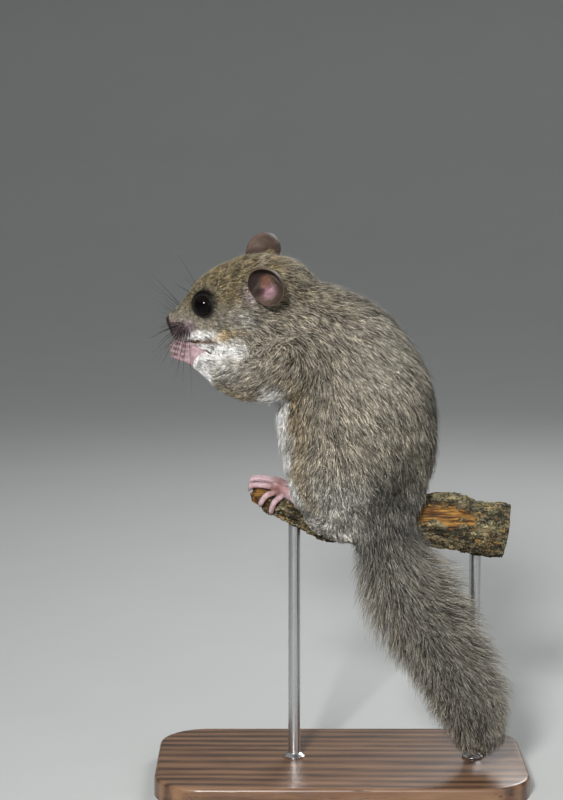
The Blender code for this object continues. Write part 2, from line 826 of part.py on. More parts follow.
publish("head", head, fur)
publish("neck", neck, fur)
publish("torso", body, fur)
publish("tail", tail, tail_fur, "EAR_CLIP")
for side, word in ((1, "left"), (-1, "right")):
    publish(f"ear_{word}", ears[side], ear_skin)
    publish(f"eye_{word}", eyes[side], eye_black)
    publish(f"arm_{word}", arms[side], fur)
    publish(f"hand_{word}", hands[side], skin)
    publish(f"leg_{word}", legs[side], fur)
    publish(f"foot_{word}", feet[side], skin)
publish("perch", perch, bark)
publish("stand_base", base, dark_wood)
for rod_name, rod in rods.items():
    publish(rod_name, rod, steel)
for spare in list(CUTTERS.objects):
    drop(spare)
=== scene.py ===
"""Edible dormouse, life size, sitting on a cut branch over a display stand: its looks.

Millimetres in the tables, metres in the meshes. The animal faces -X, its left side is towards
-Y, and +Z is up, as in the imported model.
"""

import json
import math

import bmesh
import bpy
import numpy as np
from mathutils import Matrix, Vector
from mathutils.bvhtree import BVHTree
from mathutils.kdtree import KDTree

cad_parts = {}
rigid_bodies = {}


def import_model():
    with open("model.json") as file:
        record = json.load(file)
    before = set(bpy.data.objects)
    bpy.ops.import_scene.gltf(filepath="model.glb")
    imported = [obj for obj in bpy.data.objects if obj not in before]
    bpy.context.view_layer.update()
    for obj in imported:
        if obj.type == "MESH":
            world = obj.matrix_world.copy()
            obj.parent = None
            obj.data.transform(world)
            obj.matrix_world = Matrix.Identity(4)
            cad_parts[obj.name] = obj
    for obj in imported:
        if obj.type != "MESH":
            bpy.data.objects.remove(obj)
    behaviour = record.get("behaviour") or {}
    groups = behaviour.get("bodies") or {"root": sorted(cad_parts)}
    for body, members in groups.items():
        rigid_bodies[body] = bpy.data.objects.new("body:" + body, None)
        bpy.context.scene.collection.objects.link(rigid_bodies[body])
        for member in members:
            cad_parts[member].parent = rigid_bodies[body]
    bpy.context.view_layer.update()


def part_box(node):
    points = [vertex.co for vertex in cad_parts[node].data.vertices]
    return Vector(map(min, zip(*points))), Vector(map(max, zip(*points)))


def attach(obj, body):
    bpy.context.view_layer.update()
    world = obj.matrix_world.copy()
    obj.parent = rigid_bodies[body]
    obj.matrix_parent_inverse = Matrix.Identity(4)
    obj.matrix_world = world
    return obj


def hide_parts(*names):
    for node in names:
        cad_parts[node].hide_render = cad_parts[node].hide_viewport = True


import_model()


# Studio: the photograph's angle, a little above the animal and square to its left side, under
# a crisp light from just over the camera, a weak wide one from the right and a dim surround. The
# floor is a plain pale sheet, turned up all round, that is not part of the model.
MM = 0.001
VIEW_TARGET = Vector((-24.2, 0, 155.6)) * MM
VIEW_ELEVATION = math.radians(8)
VIEW_DISTANCE = 0.889
LENS = 100
LAMPS = {
    "key": ((-0.26, -1.10, 0.66), 0.18, 2.85, 60),
    "fill": ((0.95, -0.8, 0.4), 0.9, 3.6, 180),
    "rim": ((0.45, 0.95, 0.75), 0.5, 2.4, 100),
}
SURROUND = (0.86, 0.88, 0.90)
SURROUND_STRENGTH = 0.40
FLOOR_COLOUR = (0.42, 0.43, 0.42)
FLOOR_BOWL = (
    (0.05, 0), (0.4, 0), (0.8, 0), (1.3, 0), (1.7, 0.01), (2.1, 0.06), (2.5, 0.18), (2.8, 0.42),
    (2.95, 0.8), (3.0, 1.5),
)
FLOOR_SIDES = 96

camera = bpy.data.objects.new("camera", bpy.data.cameras.new("camera"))
bpy.context.scene.collection.objects.link(camera)
camera.data.lens = LENS
camera.data.clip_start = 0.02
away = Vector((0, -math.cos(VIEW_ELEVATION), math.sin(VIEW_ELEVATION)))
camera.location = VIEW_TARGET + away * VIEW_DISTANCE
camera.rotation_euler = (-away).to_track_quat("-Z", "Y").to_euler()
bpy.context.scene.camera = camera

for lamp_name, (place, size, power, spread) in LAMPS.items():
    lamp = bpy.data.lights.new(lamp_name, "AREA")
    lamp.size = size
    lamp.energy = power
    lamp.spread = math.radians(spread)
    lamp_object = bpy.data.objects.new(lamp_name, lamp)
    lamp_object.location = place
    lamp_object.rotation_euler = (VIEW_TARGET - Vector(place)).to_track_quat("-Z", "Y").to_euler()
    bpy.context.scene.collection.objects.link(lamp_object)

world = bpy.data.worlds.new("surround")
world.use_nodes = True
world.node_tree.nodes["Background"].inputs[0].default_value = (*SURROUND, 1)
world.node_tree.nodes["Background"].inputs[1].default_value = SURROUND_STRENGTH
bpy.context.scene.world = world
bpy.context.scene.view_settings.view_transform = "Standard"


class Socket:
    """One output of a finish's nodes. Plain arithmetic on it adds Math nodes."""

    def __init__(self, finish, output):
        self.finish = finish
        self.output = output

    def sum_of(self, operation, first, second):
        return self.finish.node(
            "ShaderNodeMath", {"operation": operation}, {0: first, 1: second}
        )

    def __add__(self, other):
        return self.sum_of("ADD", self, other)

    __radd__ = __add__

    def __sub__(self, other):
        return self.sum_of("SUBTRACT", self, other)

    def __rsub__(self, other):
        return self.sum_of("SUBTRACT", other, self)

    def __mul__(self, other):
        return self.sum_of("MULTIPLY", self, other)

    __rmul__ = __mul__


class Finish:
    """A material and the nodes behind its Principled shader."""

    def __init__(self, name, **constants):
        self.material = bpy.data.materials.new(name)
        self.material.use_nodes = True
        self.tree = self.material.node_tree
        self.shader = self.tree.nodes["Principled BSDF"]
        for socket, value in constants.items():
            self.shader.inputs[socket.replace("_", " ")].default_value = value

    def node(self, kind, settings=None, sockets=None, output=0):
        """Adds a node with its settings and inputs, and gives one of its outputs."""
        made = self.tree.nodes.new(kind)
        for key, value in (settings or {}).items():
            if key == "stops":
                ramp = made.color_ramp.elements
                for _ in range(len(value) - 2):
                    ramp.new(0.5)
                for element, (position, colour) in zip(ramp, value):
                    element.position = position
                    element.color = (*colour, 1)
            else:
                setattr(made, key, value)
        for key, value in (sockets or {}).items():
            if isinstance(value, Socket):
                self.tree.links.new(value.output, made.inputs[key])
            elif isinstance(value, tuple) and len(made.inputs[key].default_value) == 4:
                made.inputs[key].default_value = (*value, 1)
            else:
                made.inputs[key].default_value = value
        return Socket(self, made.outputs[output])

    def place(self):
        """Object coordinates in millimetres."""
        coords = self.node("ShaderNodeTexCoord", output=3)
        return self.node("ShaderNodeVectorMath", {"operation": "SCALE"}, {0: coords, 3: 1000.0})

    def stored(self, name, output=2):
        """What the mesh keeps for each point: a number, or a colour from output 0."""
        return self.node("ShaderNodeAttribute", {"attribute_name": name}, output=output)

    def stretched(self, vector, scale, shift=(0, 0, 0)):
        """The vector times one number an axis, plus a shift."""
        sockets = {0: vector, 1: Vector(scale), 2: Vector(shift)}
        return self.node("ShaderNodeVectorMath", {"operation": "MULTIPLY_ADD"}, sockets)

    def noise(self, vector, size, detail=3.0, roughness=0.55, output=0):
        """Noise from 0 to 1 whose blotches are about one size across."""
        sockets = {"Vector": vector, "Scale": 1 / size, "Detail": detail, "Roughness": roughness}
        return self.node("ShaderNodeTexNoise", None, sockets, output)

    def between(self, value, low, high):
        """0 up to low, 1 from high on, and smooth between."""
        settings = {"interpolation_type": "SMOOTHSTEP"}
        return self.node("ShaderNodeMapRange", settings, {0: value, 1: low, 2: high})

    def blend(self, first, second, share):
        """The first colour at share 0 and the second at 1."""
        return self.node("ShaderNodeMix", {"data_type": "RGBA"}, {0: share, 6: first, 7: second}, 2)

    def tinted(self, first, second):
        """Two colours multiplied."""
        settings = {"data_type": "RGBA", "blend_type": "MULTIPLY"}
        return self.node("ShaderNodeMix", settings, {0: 1.0, 6: first, 7: second}, 2)

    def bump(self, height, depth):
        """A bump whose height of 1 stands the given number of millimetres out."""
        return self.node("ShaderNodeBump", None, {"Strength": 1.0, "Distance": depth * MM, "Height": height})

    def feed(self, **sources):
        """Leads outputs into the shader's inputs of the same names, and gives the material."""
        for socket, source in sources.items():
            self.tree.links.new(source.output, self.shader.inputs[socket.replace("_", " ")])
        return self.material


def add_object(name, mesh, material):
    """Puts a mesh into the scene as an object with one material."""
    made = bpy.data.objects.new(name, mesh)
    bpy.context.scene.collection.objects.link(made)
    mesh.materials.clear()
    mesh.materials.append(material)
    return made


def mount(piece, slot, *nodes):
    """Fixes a finished piece to the model's one body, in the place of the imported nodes."""
    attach(piece, "root")
    if nodes:
        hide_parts(*nodes)
    return piece


def ring_loops(bm, profile, sides, centre=Vector((0, 0, 0)), unit=1):
    """Rings round an upright line, and faces between them, from pairs of radius and height."""
    loops = []
    for radius, height in profile:
        angles = [2 * math.pi * k / sides for k in range(sides)]
        ring = [(radius * math.cos(a), radius * math.sin(a), height) for a in angles]
        loops.append([bm.verts.new((Vector(point) + centre) * unit) for point in ring])
    for lower, upper in zip(loops, loops[1:]):
        for k in range(sides):
            bm.faces.new((lower[k - 1], lower[k], upper[k], upper[k - 1]))
    return loops


paper = Finish("floor_paper", Roughness=0.9)
grain = paper.noise(paper.place(), 60, 4.0)
paper_shade = paper.blend(FLOOR_COLOUR, tuple(c * 0.94 for c in FLOOR_COLOUR), grain)
floor_bm = bmesh.new()
level_part = floor_bm.faces.new(ring_loops(floor_bm, FLOOR_BOWL, FLOOR_SIDES)[0])
bmesh.ops.recalc_face_normals(floor_bm, faces=floor_bm.faces)
if level_part.normal.z < 0:
    bmesh.ops.reverse_faces(floor_bm, faces=floor_bm.faces)
floor_mesh = bpy.data.meshes.new("floor")
floor_bm.to_mesh(floor_mesh)
floor_bm.free()
floor_mesh.shade_smooth()
floor = add_object("floor", floor_mesh, paper.feed(Base_Color=paper_shade))


# Base of the stand: a flat plate of dark, oiled hardwood with round corners, its upper edge
# eased by hand. The two rods are glued into blind holes in it.
BASE_EDGE = 1.5
BASE_CORNER = 20.0
WALNUT = ((0.045, 0.022, 0.012), (0.13, 0.065, 0.032), (0.20, 0.11, 0.058))


def mesh_of(bm, name):
    """A smooth mesh from an edit mesh, which is let go."""
    mesh = bpy.data.meshes.new(name)
    bm.to_mesh(mesh)
    bm.free()
    mesh.shade_smooth()
    return mesh


base_low, base_high = (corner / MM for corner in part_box("stand_base"))
base_size = base_high - base_low
bm = bmesh.new()
bmesh.ops.create_cube(bm, size=1)
bmesh.ops.scale(bm, vec=base_size * MM, verts=bm.verts)
bmesh.ops.translate(bm, vec=(base_low + base_high) / 2 * MM, verts=bm.verts)
upright = [e for e in bm.edges if abs(e.verts[0].co.z - e.verts[1].co.z) > base_size.z * MM / 2]
corner = {"segments": 16, "profile": 0.5, "affect": "EDGES"}
bmesh.ops.bevel(bm, geom=upright, offset=BASE_CORNER * MM, **corner)
rim_height = (base_high.z - 0.01) * MM
rim = [e for e in bm.edges if min(v.co.z for v in e.verts) > rim_height]
bmesh.ops.bevel(bm, geom=rim, offset=BASE_EDGE * MM, segments=5, profile=0.5, affect="EDGES")
base_mesh = mesh_of(bm, "base_plate")
base_mesh.set_sharp_from_angle(angle=math.radians(30))

walnut = Finish("oiled_walnut", Roughness=0.38, Coat_Weight=0.25, Coat_Roughness=0.2)
lengthwise = walnut.stretched(walnut.place(), (0.12, 1.0, 1.0))
wander = walnut.noise(lengthwise, 5.0, 5.0, 0.62)
figure = walnut.node(
    "ShaderNodeTexWave",
    {"wave_type": "BANDS", "bands_direction": "Y"},
    {"Vector": lengthwise, "Scale": 0.045, "Distortion": 14.0, "Detail": 4.0, "Detail Scale": 0.35},
)
pores = walnut.noise(walnut.stretched(walnut.place(), (0.05, 1.4, 1.4)), 0.9, 2.0)
stripes = walnut.node(
    "ShaderNodeValToRGB",
    {"stops": tuple(zip((0.32, 0.50, 0.70), WALNUT))},
    {0: figure * 0.28 + wander * 0.72},
)
pitted = walnut.between(pores, 0.62, 0.72)
walnut_shade = walnut.blend(stripes, WALNUT[0], pitted * 0.8)
walnut_bump = walnut.bump(1.0 - pitted, 0.08)
base_plate = add_object(
    "base_plate", base_mesh, walnut.feed(Base_Color=walnut_shade, Normal=walnut_bump)
)
mount(base_plate, "base_wood", "stand_base")


# Rods: two lengths of polished steel wire, round in section, that run from the base up into
# the branch. A small turned collar covers each hole in the wood.
ROD_RADIUS = 2.4
COLLAR_RADIUS = 4.3
COLLAR_HEIGHT = 2.2
ROD_NODES = ("stand_rod_front", "stand_rod_rear")

steel = Finish("brushed_steel", Metallic=1.0, Base_Color=(0.58, 0.58, 0.59, 1))
brushed = steel.noise(steel.stretched(steel.place(), (5.0, 5.0, 0.15)), 1.2, 3.0)
smudges = steel.noise(steel.place(), 14.0, 2.0)
steel_material = steel.feed(
    Roughness=0.16 + brushed * 0.12 + smudges * 0.12, Normal=steel.bump(brushed, 0.01)
)


def turned(profile, centre, sides=48):
    """A closed turned shape: pairs of radius and height, from its underside to its top."""
    bm = bmesh.new()
    loops = ring_loops(bm, profile, sides, centre, MM)
    bm.faces.new(loops[0][::-1])
    bm.faces.new(loops[-1])
    return bm


for node in ROD_NODES:
    low, high = (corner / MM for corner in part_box(node))
    middle = Vector(((low.x + high.x) / 2, (low.y + high.y) / 2, 0))
    straight = [(ROD_RADIUS, low.z), (ROD_RADIUS, high.z)]
    rod_mesh = mesh_of(turned(straight, middle), node.replace("stand_", ""))
    rod_mesh.set_sharp_from_angle(angle=math.radians(40))
    mount(add_object(node.replace("stand_", ""), rod_mesh, steel_material), "steel", node)
    top = base_high.z
    profile = [
        (COLLAR_RADIUS - 0.3, top - 0.2),
        (COLLAR_RADIUS, top + 0.3),
        (COLLAR_RADIUS, top + COLLAR_HEIGHT * 0.45),
        (COLLAR_RADIUS * 0.82, top + COLLAR_HEIGHT * 0.7),
        (ROD_RADIUS + 0.5, top + COLLAR_HEIGHT * 0.95),
        (ROD_RADIUS + 0.1, top + COLLAR_HEIGHT),
    ]
    collar_name = node.replace("stand_rod", "collar")
    collar_mesh = mesh_of(turned(profile, middle), collar_name)
    collar_mesh.set_sharp_from_angle(angle=math.radians(50))
    mount(add_object(collar_name, collar_mesh, steel_material), "steel")


# Branch: a cut length of a tree's dead limb, sawn across at the thick end and gnawed to
# bare wood at the tip. Its bark is cracked into long plates, and a strip of it has come away.
# The two rods hold it from below, in drilled holes.
BRANCH = (
    (-34.5, 0, 118.6, 4.9),
    (-28, 0, 115.8, 5.7),
    (-17, 0, 110.8, 6.6),
    (-2, 0, 106.2, 8.2),
    (16, 0, 105.8, 9.3),
    (34, 0, 106.8, 10.0),
    (50, 0, 104.4, 10.4),
    (66, 0, 101.8, 11.0),
)
BRANCH_RINGS = 250
BRANCH_SIDES = 112
END_RINGS = 9
KNOT = (44, 115, 1.3)  # x, z and height of the swelling
BARE_PATCH = (40.5, 12.5, -62, 27)  # x, half length, turn in degrees and half its width
GNAWED = -29.0  # the bark ends at this x
FLAKES_END = 63.5  # its flakes stop here, just before the sawn end
BARK = ((0.004, 0.003, 0.002), (0.021, 0.016, 0.008), (0.165, 0.132, 0.076))
LICHEN = ((0.085, 0.078, 0.040), (0.21, 0.195, 0.12))
OCHRE = (0.25, 0.14, 0.035)
BARE_WOOD = ((0.009, 0.004, 0.0015), (0.085, 0.034, 0.004), (0.27, 0.140, 0.032))
SAWN_WOOD = ((0.36, 0.25, 0.13), (0.60, 0.46, 0.28))


def curve_through(stations, steps):
    """Rows on a smooth curve through the rows of a table."""
    rows = np.array(stations, float)
    rows = np.vstack([2 * rows[0] - rows[1], rows, 2 * rows[-1] - rows[-2]])
    made = []
    for before, start, end, after in zip(rows, rows[1:], rows[2:], rows[3:]):
        for t in np.linspace(0, 1, steps, endpoint=False):
            square = (2 * before - 5 * start + 4 * end - after) * t**2
            cube = (3 * start - before - 3 * end + after) * t**3
            made.append(start + (end - before) * t / 2 + (square + cube) / 2)
    made.append(rows[-2])
    return np.array(made)


def evenly(rows, count):
    """The rows again, at equal distances along the curve of their first three columns."""
    steps = np.linalg.norm(np.diff(rows[:, :3], axis=0), axis=1)
    distance = np.concatenate([[0], np.cumsum(steps)])
    wanted = np.linspace(0, distance[-1], count)
    return np.stack([np.interp(wanted, distance, column) for column in rows.T], axis=1)


def ripple(points, size, seed, waves=14):
    """A smooth random field over the points, about -1 to 1, its swells a size apart."""
    draw = np.random.default_rng(seed)
    ways = draw.normal(size=(waves, points.shape[1]))
    ways *= (2 * np.pi / size * draw.uniform(0.5, 1.5, waves) / np.linalg.norm(ways, axis=1))[:, None]
    turns = points @ ways.T + draw.uniform(0, 2 * np.pi, waves)
    return np.sin(turns).sum(axis=1) / math.sqrt(waves)


def shell_mesh(name, rings, close_ends=True):
    """A mesh from a grid of rings of points in millimetres, each ring closed on itself."""
    count, sides = rings.shape[:2]
    points = rings.reshape(-1, 3)
    index = np.arange(count * sides).reshape(count, sides)
    after = np.roll(index, -1, axis=1)
    quads = np.stack([index[:-1], after[:-1], after[1:], index[1:]], axis=-1).reshape(-1, 4)
    faces = quads.tolist()
    if close_ends:
        middles = np.array([rings[0].mean(axis=0), rings[-1].mean(axis=0)])
        points = np.vstack([points, middles])
        low, high = count * sides, count * sides + 1
        for k in range(sides):
            faces.append((low, int(after[0, k]), int(index[0, k])))
            faces.append((high, int(index[-1, k]), int(after[-1, k])))
    mesh = bpy.data.meshes.new(name)
    mesh.from_pydata(points * MM, [], faces)
    bm = bmesh.new()
    bm.from_mesh(mesh)
    bmesh.ops.recalc_face_normals(bm, faces=bm.faces)
    bm.to_mesh(mesh)
    bm.free()
    mesh.shade_smooth()
    return mesh


def store(mesh, name, values):
    """Keeps one number or one colour for each point of a mesh, for its material to read."""
    values = np.asarray(values, np.float32)
    if values.ndim == 1:
        mesh.attributes.new(name, "FLOAT", "POINT").data.foreach_set("value", values)
        return
    coloured = np.ones((len(values), 4), np.float32)
    coloured[:, :3] = values
    mesh.attributes.new(name, "FLOAT_COLOR", "POINT").data.foreach_set("color", coloured.ravel())


def step_between(values, low, high):
    """0 up to low, 1 from high on, and smooth between."""
    share = np.clip((values - low) / (high - low), 0, 1)
    return share * share * (3 - 2 * share)


def spot(across, wide, over, high, power=1):
    """A soft patch: 1 at its middle, falling off over a width and a height, harder with power."""
    return np.exp(-(((across / wide) ** 2 + (over / high) ** 2) ** power))


def streak(across, wide, power=2):
    """A soft band: 1 along its middle line, falling off over a width."""
    return np.exp(-((across / wide) ** power))


limb = evenly(curve_through(BRANCH, 12), BRANCH_RINGS)
slope = np.gradient(limb[:, :3], axis=0)
slope /= np.linalg.norm(slope, axis=1)[:, None]
level = np.array([0.0, -1.0, 0.0])
upward = np.cross(level, slope)
turn = np.radians(np.arange(BRANCH_SIDES) * 360 / BRANCH_SIDES)
turn_grid, x_grid = np.meshgrid(turn, limb[:, 0])
spread = np.stack([x_grid.ravel(), np.cos(turn_grid).ravel() * 9, np.sin(turn_grid).ravel() * 9], 1)
outward = level * np.cos(turn_grid)[..., None] + upward[:, None] * np.sin(turn_grid)[..., None]
fibres = ripple(spread * (0.10, 1, 1), 2.6, 1)
plates = ripple(spread * (0.22, 1, 1), 5.5, 2)
splits = ripple(spread * (1.0, 0.22, 0.22), 5.0, 3)
lumps = ripple(spread, 11.0, 4)
across_grain = streak(splits, 0.10) * step_between(spread[:, 0], 38, 50) * 0.8
crack = np.maximum(streak(plates, 0.16), across_grain)
degrees = np.degrees(turn_grid).ravel()
across = (degrees - BARE_PATCH[2] - 90 + 180) % 360 - 180
ragged = 1 + 0.30 * ripple(spread, 4.0, 5) + 0.12 * ripple(spread * (0.3, 1, 1), 1.6, 9)
reach = np.hypot((spread[:, 0] - BARE_PATCH[0]) / BARE_PATCH[1], across / BARE_PATCH[3]) / ragged
bare = 1 - step_between(reach, 0.85, 1.05)
gnawed = 1 - step_between(spread[:, 0] + 1.6 * ripple(spread, 5.0, 6), GNAWED - 1.5, GNAWED + 0.5)
wood = np.maximum(bare, gnawed)
scales = ripple(spread * (0.5, 1, 1), 1.7, 10)
relief = 0.30 * fibres + 0.40 * lumps - 1.25 * crack + 0.45 * plates + 0.20 * scales
splinters = ripple(spread * (0.06, 1, 1), 1.5, 11)
relief = relief * (1 - wood) + (0.22 * fibres + 0.20 * splinters - 0.8) * wood
swelling = KNOT[2] * np.exp(-((spread[:, 0] - KNOT[0]) ** 2) / 40)
facing_up = np.clip(np.sin(turn_grid).ravel(), 0, 1)
radius = limb[:, 3][:, None] + (relief + swelling * facing_up**2).reshape(turn_grid.shape)
rings = limb[:, None, :3] + outward * radius[..., None]

tip_ring, sawn_ring = rings[0], rings[-1]
tip_middle, sawn_middle = limb[0, :3], limb[-1, :3]
tip_caps, sawn_caps = [], []
for k in range(1, END_RINGS + 1):
    share = 1 - k / (END_RINGS + 0.5)
    chewed = tip_middle + (tip_ring - tip_middle) * share
    bite = 0.9 * ripple(chewed, 2.4, 7) * math.sin(math.pi * min(share + 0.1, 1)) + 1.2 * (1 - share**2)
    tip_caps.append(chewed - slope[0] * bite[:, None])
    flat = sawn_middle + (sawn_ring - sawn_middle) * share
    sawn_caps.append(flat + slope[-1] * (0.05 * ripple(flat, 1.2, 8))[:, None])
rings = np.concatenate([np.array(tip_caps[::-1]), rings, np.array(sawn_caps)])
branch_mesh = shell_mesh("branch", rings)


def store_on_branch(name, body, tip, sawn):
    """Stores a value all over the limb, with one number for its gnawed tip and its sawn end."""
    rows = np.full((len(rings), BRANCH_SIDES), float(tip))
    rows[-END_RINGS:] = sawn
    rows[END_RINGS:-END_RINGS] = body.reshape(turn_grid.shape)
    store(branch_mesh, name, np.append(rows.ravel(), (tip, sawn)))


store_on_branch("sawn", np.zeros(turn_grid.size), 0, 1)
store_on_branch("bare", wood, 1, 1)
store_on_branch("crack", crack * (1 - wood), 0, 0)
store_on_branch("scaly", (1 - wood) * (spread[:, 0] < FLAKES_END), 0, 0)

bark = Finish("dead_bark", Specular_IOR_Level=0.25)
place = bark.place()
grey = bark.noise(bark.stretched(place, (0.35, 1, 1)), 3.0, 5.0, 0.65)
broad = bark.noise(place, 16.0, 3.0)
flecks = bark.noise(place, 0.8, 3.0, 0.7)
shades = tuple(zip((0.40, 0.50, 0.62), BARK))
bark_shade = bark.node("ShaderNodeValToRGB", {"stops": shades}, {0: grey * 0.75 + flecks * 0.25})
lichen_shade = bark.blend(*LICHEN, flecks)
grown_over = bark.between(broad * 0.5 + flecks * 0.5, 0.50, 0.58)
bark_shade = bark.blend(bark_shade, lichen_shade, grown_over * 0.6)
crumbs = bark.noise(bark.stretched(place, (0.6, 1, 1), (40, 0, 0)), 2.2, 4.0, 0.7)
bark_shade = bark.blend(bark_shade, OCHRE, bark.between(crumbs, 0.56, 0.66) * 0.6)
# Painted shade: the cracks in the bark are darkened almost to black.
crack_shade = bark.stored("crack")
bark_shade = bark.blend(bark_shade, (0.008, 0.006, 0.004), crack_shade * 0.9)
raised = bark.stored("raised")
flake_shade = bark.tinted(bark_shade, (1.9, 1.85, 1.75))
bark_shade = bark.blend(bark_shade, flake_shade, raised)
strands = bark.noise(bark.stretched(place, (0.12, 1.6, 1.6)), 1.4, 4.0, 0.6)
wood_stops = tuple(zip((0.40, 0.5, 0.62), BARE_WOOD))
wood_shade = bark.node("ShaderNodeValToRGB", {"stops": wood_stops}, {0: strands * 0.75 + broad * 0.25})
in_bare = bark.stored("bare")
centred = bark.stretched(place, (1, 1, 1), (0, 0, -limb[-1, 2]))
flattened = bark.stretched(centred, (0, 1, 1))
from_middle = bark.node("ShaderNodeVectorMath", {"operation": "LENGTH"}, {0: flattened}, 1)
year_rings = bark.node("ShaderNodeMath", {"operation": "SINE"}, {0: from_middle * 5.2 + strands * 3.0})
end_shade = bark.blend(*SAWN_WOOD, bark.between(year_rings, -0.6, 0.9))
in_end = bark.stored("sawn")
wood_shade = bark.blend(wood_shade, end_shade, in_end)
coarse = bark.bump(grey * 0.6 + flecks * 0.6 + strands * in_bare * 0.6, 0.55)
bark_material = bark.feed(
    Base_Color=bark.blend(bark_shade, wood_shade, in_bare),
    Roughness=0.92 - in_bare * 0.22,
    Normal=coarse,
)
branch = add_object("branch", branch_mesh, bark_material)
mount(branch, "bark", "perch")


# Bark flakes: small curling scales that stand off the cracked bark all round, their length
# along the grain. There are none on the peeled strip, the gnawed tip or the sawn end.
FLAKE = {"Flake Size": 0.95 * MM, "Flake Thickness": 0.42 * MM, "Flakes per Area": 240000.0}
FLAKE_SEED = 11


def modified(bearer):
    """The mesh that an object's modifiers make of its own. The object itself goes."""
    graph = bpy.context.evaluated_depsgraph_get()
    graph.update()
    made = bpy.data.meshes.new_from_object(bearer.evaluated_get(graph))
    bearer.modifiers.clear()
    bpy.data.objects.remove(bearer)
    return made


class Growth:
    """A Geometry Nodes tree: its named inputs, and one method that adds any node."""

    def __init__(self, name, sizes):
        self.tree = bpy.data.node_groups.new(name, "GeometryNodeTree")
        inputs = self.tree.interface
        inputs.new_socket("Geometry", in_out="INPUT", socket_type="NodeSocketGeometry")
        self.keys = {}
        for title in sizes:
            made = inputs.new_socket(title, in_out="INPUT", socket_type="NodeSocketFloat")
            self.keys[title] = made.identifier
        inputs.new_socket("Geometry", in_out="OUTPUT", socket_type="NodeSocketGeometry")
        self.given = self.tree.nodes.new("NodeGroupInput")
        self.result = self.tree.nodes.new("NodeGroupOutput")

    def node(self, kind, settings=None, sockets=None):
        made = self.tree.nodes.new(kind)
        for key, value in (settings or {}).items():
            setattr(made, key, value)
        for key, value in (sockets or {}).items():
            if isinstance(value, bpy.types.NodeSocket):
                self.tree.links.new(value, made.inputs[key])
            else:
                made.inputs[key].default_value = value
        return made.outputs

    def grown(self, mesh, sizes):
        """The plain mesh that the tree makes from another mesh."""
        bearer = bpy.data.objects.new("bearer", mesh)
        bpy.context.scene.collection.objects.link(bearer)
        modifier = bearer.modifiers.new("growth", "NODES")
        modifier.node_group = self.tree
        for title, value in sizes.items():
            modifier[self.keys[title]] = value
        return modified(bearer)


scaly = Growth("bark_flakes", FLAKE)
given = scaly.given.outputs
rough = scaly.node("GeometryNodeInputNamedAttribute", {"data_type": "FLOAT"}, {"Name": "scaly"})[0]
covered = scaly.node("ShaderNodeMath", {"operation": "GREATER_THAN"}, {0: rough, 1: 0.7})[0]
crowd = scaly.node(
    "ShaderNodeMath", {"operation": "MULTIPLY"}, {0: covered, 1: given["Flakes per Area"]}
)[0]
spots = scaly.node(
    "GeometryNodeDistributePointsOnFaces",
    {"distribute_method": "RANDOM"},
    {"Mesh": given["Geometry"], "Density": crowd, "Seed": FLAKE_SEED},
)
upright_way = scaly.node(
    "FunctionNodeAlignRotationToVector", {"axis": "Z"}, {"Vector": spots["Normal"]}
)[0]
grain_way = scaly.node(
    "FunctionNodeAlignRotationToVector",
    {"axis": "X", "pivot_axis": "Z"},
    {"Rotation": upright_way, "Vector": (1, 0, 0)},
)[0]
tilt = scaly.node(
    "FunctionNodeRandomValue",
    {"data_type": "FLOAT_VECTOR"},
    {0: (-0.16, -0.10, -0.22), 1: (0.16, 0.10, 0.22), "Seed": FLAKE_SEED + 1},
)[0]
flake_way = scaly.node(
    "FunctionNodeRotateRotation", {"rotation_space": "LOCAL"}, {0: grain_way, 1: tilt}
)[0]
flake_scale = scaly.node(
    "FunctionNodeRandomValue",
    {"data_type": "FLOAT_VECTOR"},
    {0: (0.8, 0.35, 0.5), 1: (2.6, 1.1, 1.3), "Seed": FLAKE_SEED + 2},
)[0]
flake = scaly.node(
    "GeometryNodeMeshCylinder",
    None,
    {"Vertices": 7, "Radius": given["Flake Size"], "Depth": given["Flake Thickness"]},
)["Mesh"]
placed = scaly.node(
    "GeometryNodeInstanceOnPoints",
    None,
    {"Points": spots["Points"], "Instance": flake, "Rotation": flake_way, "Scale": flake_scale},
)[0]
lightness = scaly.node("FunctionNodeRandomValue", {"data_type": "FLOAT"}, {"Seed": FLAKE_SEED + 3})[1]
marked = scaly.node(
    "GeometryNodeStoreNamedAttribute",
    {"data_type": "FLOAT", "domain": "INSTANCE"},
    {"Geometry": placed, "Name": "raised", "Value": lightness},
)[0]
solid_flakes = scaly.node("GeometryNodeRealizeInstances", None, {0: marked})[0]
barky = scaly.node("GeometryNodeSetMaterial", None, {"Geometry": solid_flakes, "Material": bark_material})[0]
scaly.tree.links.new(barky, scaly.result.inputs[0])
flakes_mesh = scaly.grown(branch_mesh, FLAKE)
mount(add_object("bark_flakes", flakes_mesh, bark_material), "bark")


# Skin: the whole animal's hide as one closed surface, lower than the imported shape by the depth
# of the coat, down to the thin core of the tail. It is bare on the nose, the lids, the ears,
# the palms and the toes, and shows between the hairs elsewhere. The limbs fit the photograph.
HEAD_CENTRE = Vector((-44, -1, 194))
HEAD_PITCH, HEAD_ROLL, HEAD_YAW = (math.radians(angle) for angle in (16, 19, 3))
EYE_RADIUS = 4.45
EYE_PLACE = (9.2, 7.4, 6.3)  # forward, left and up from the head's centre
EYE_AIM = (0.44, 0.86, 0.24)
EAR_PLACE = (-17.0, 18.5, 11.2)
EAR_AIM = (0.46, 0.84, 0.20)
EAR_DEPTH = 5.0
MOUTH_MIDDLE = (14.0, 0, -8.4)
MOUTH_DROP = 2.4
MOUTH_TURN = 104  # degrees to each side that the line of the mouth runs round the muzzle
MOUTH_POINTS = 121
NOSE_FRONT = 26.4  # past this the nose is pressed back
CORE_HEIGHTS = (-93, -81)  # heights, below zero, between which the hide thins to the tail's core
SEAT_HEIGHT = 103
SKIN_VOXEL = 0.42
SKIN_SMOOTHING = 10
SKIN_KEPT = 0.22  # share of the triangles kept outside the face
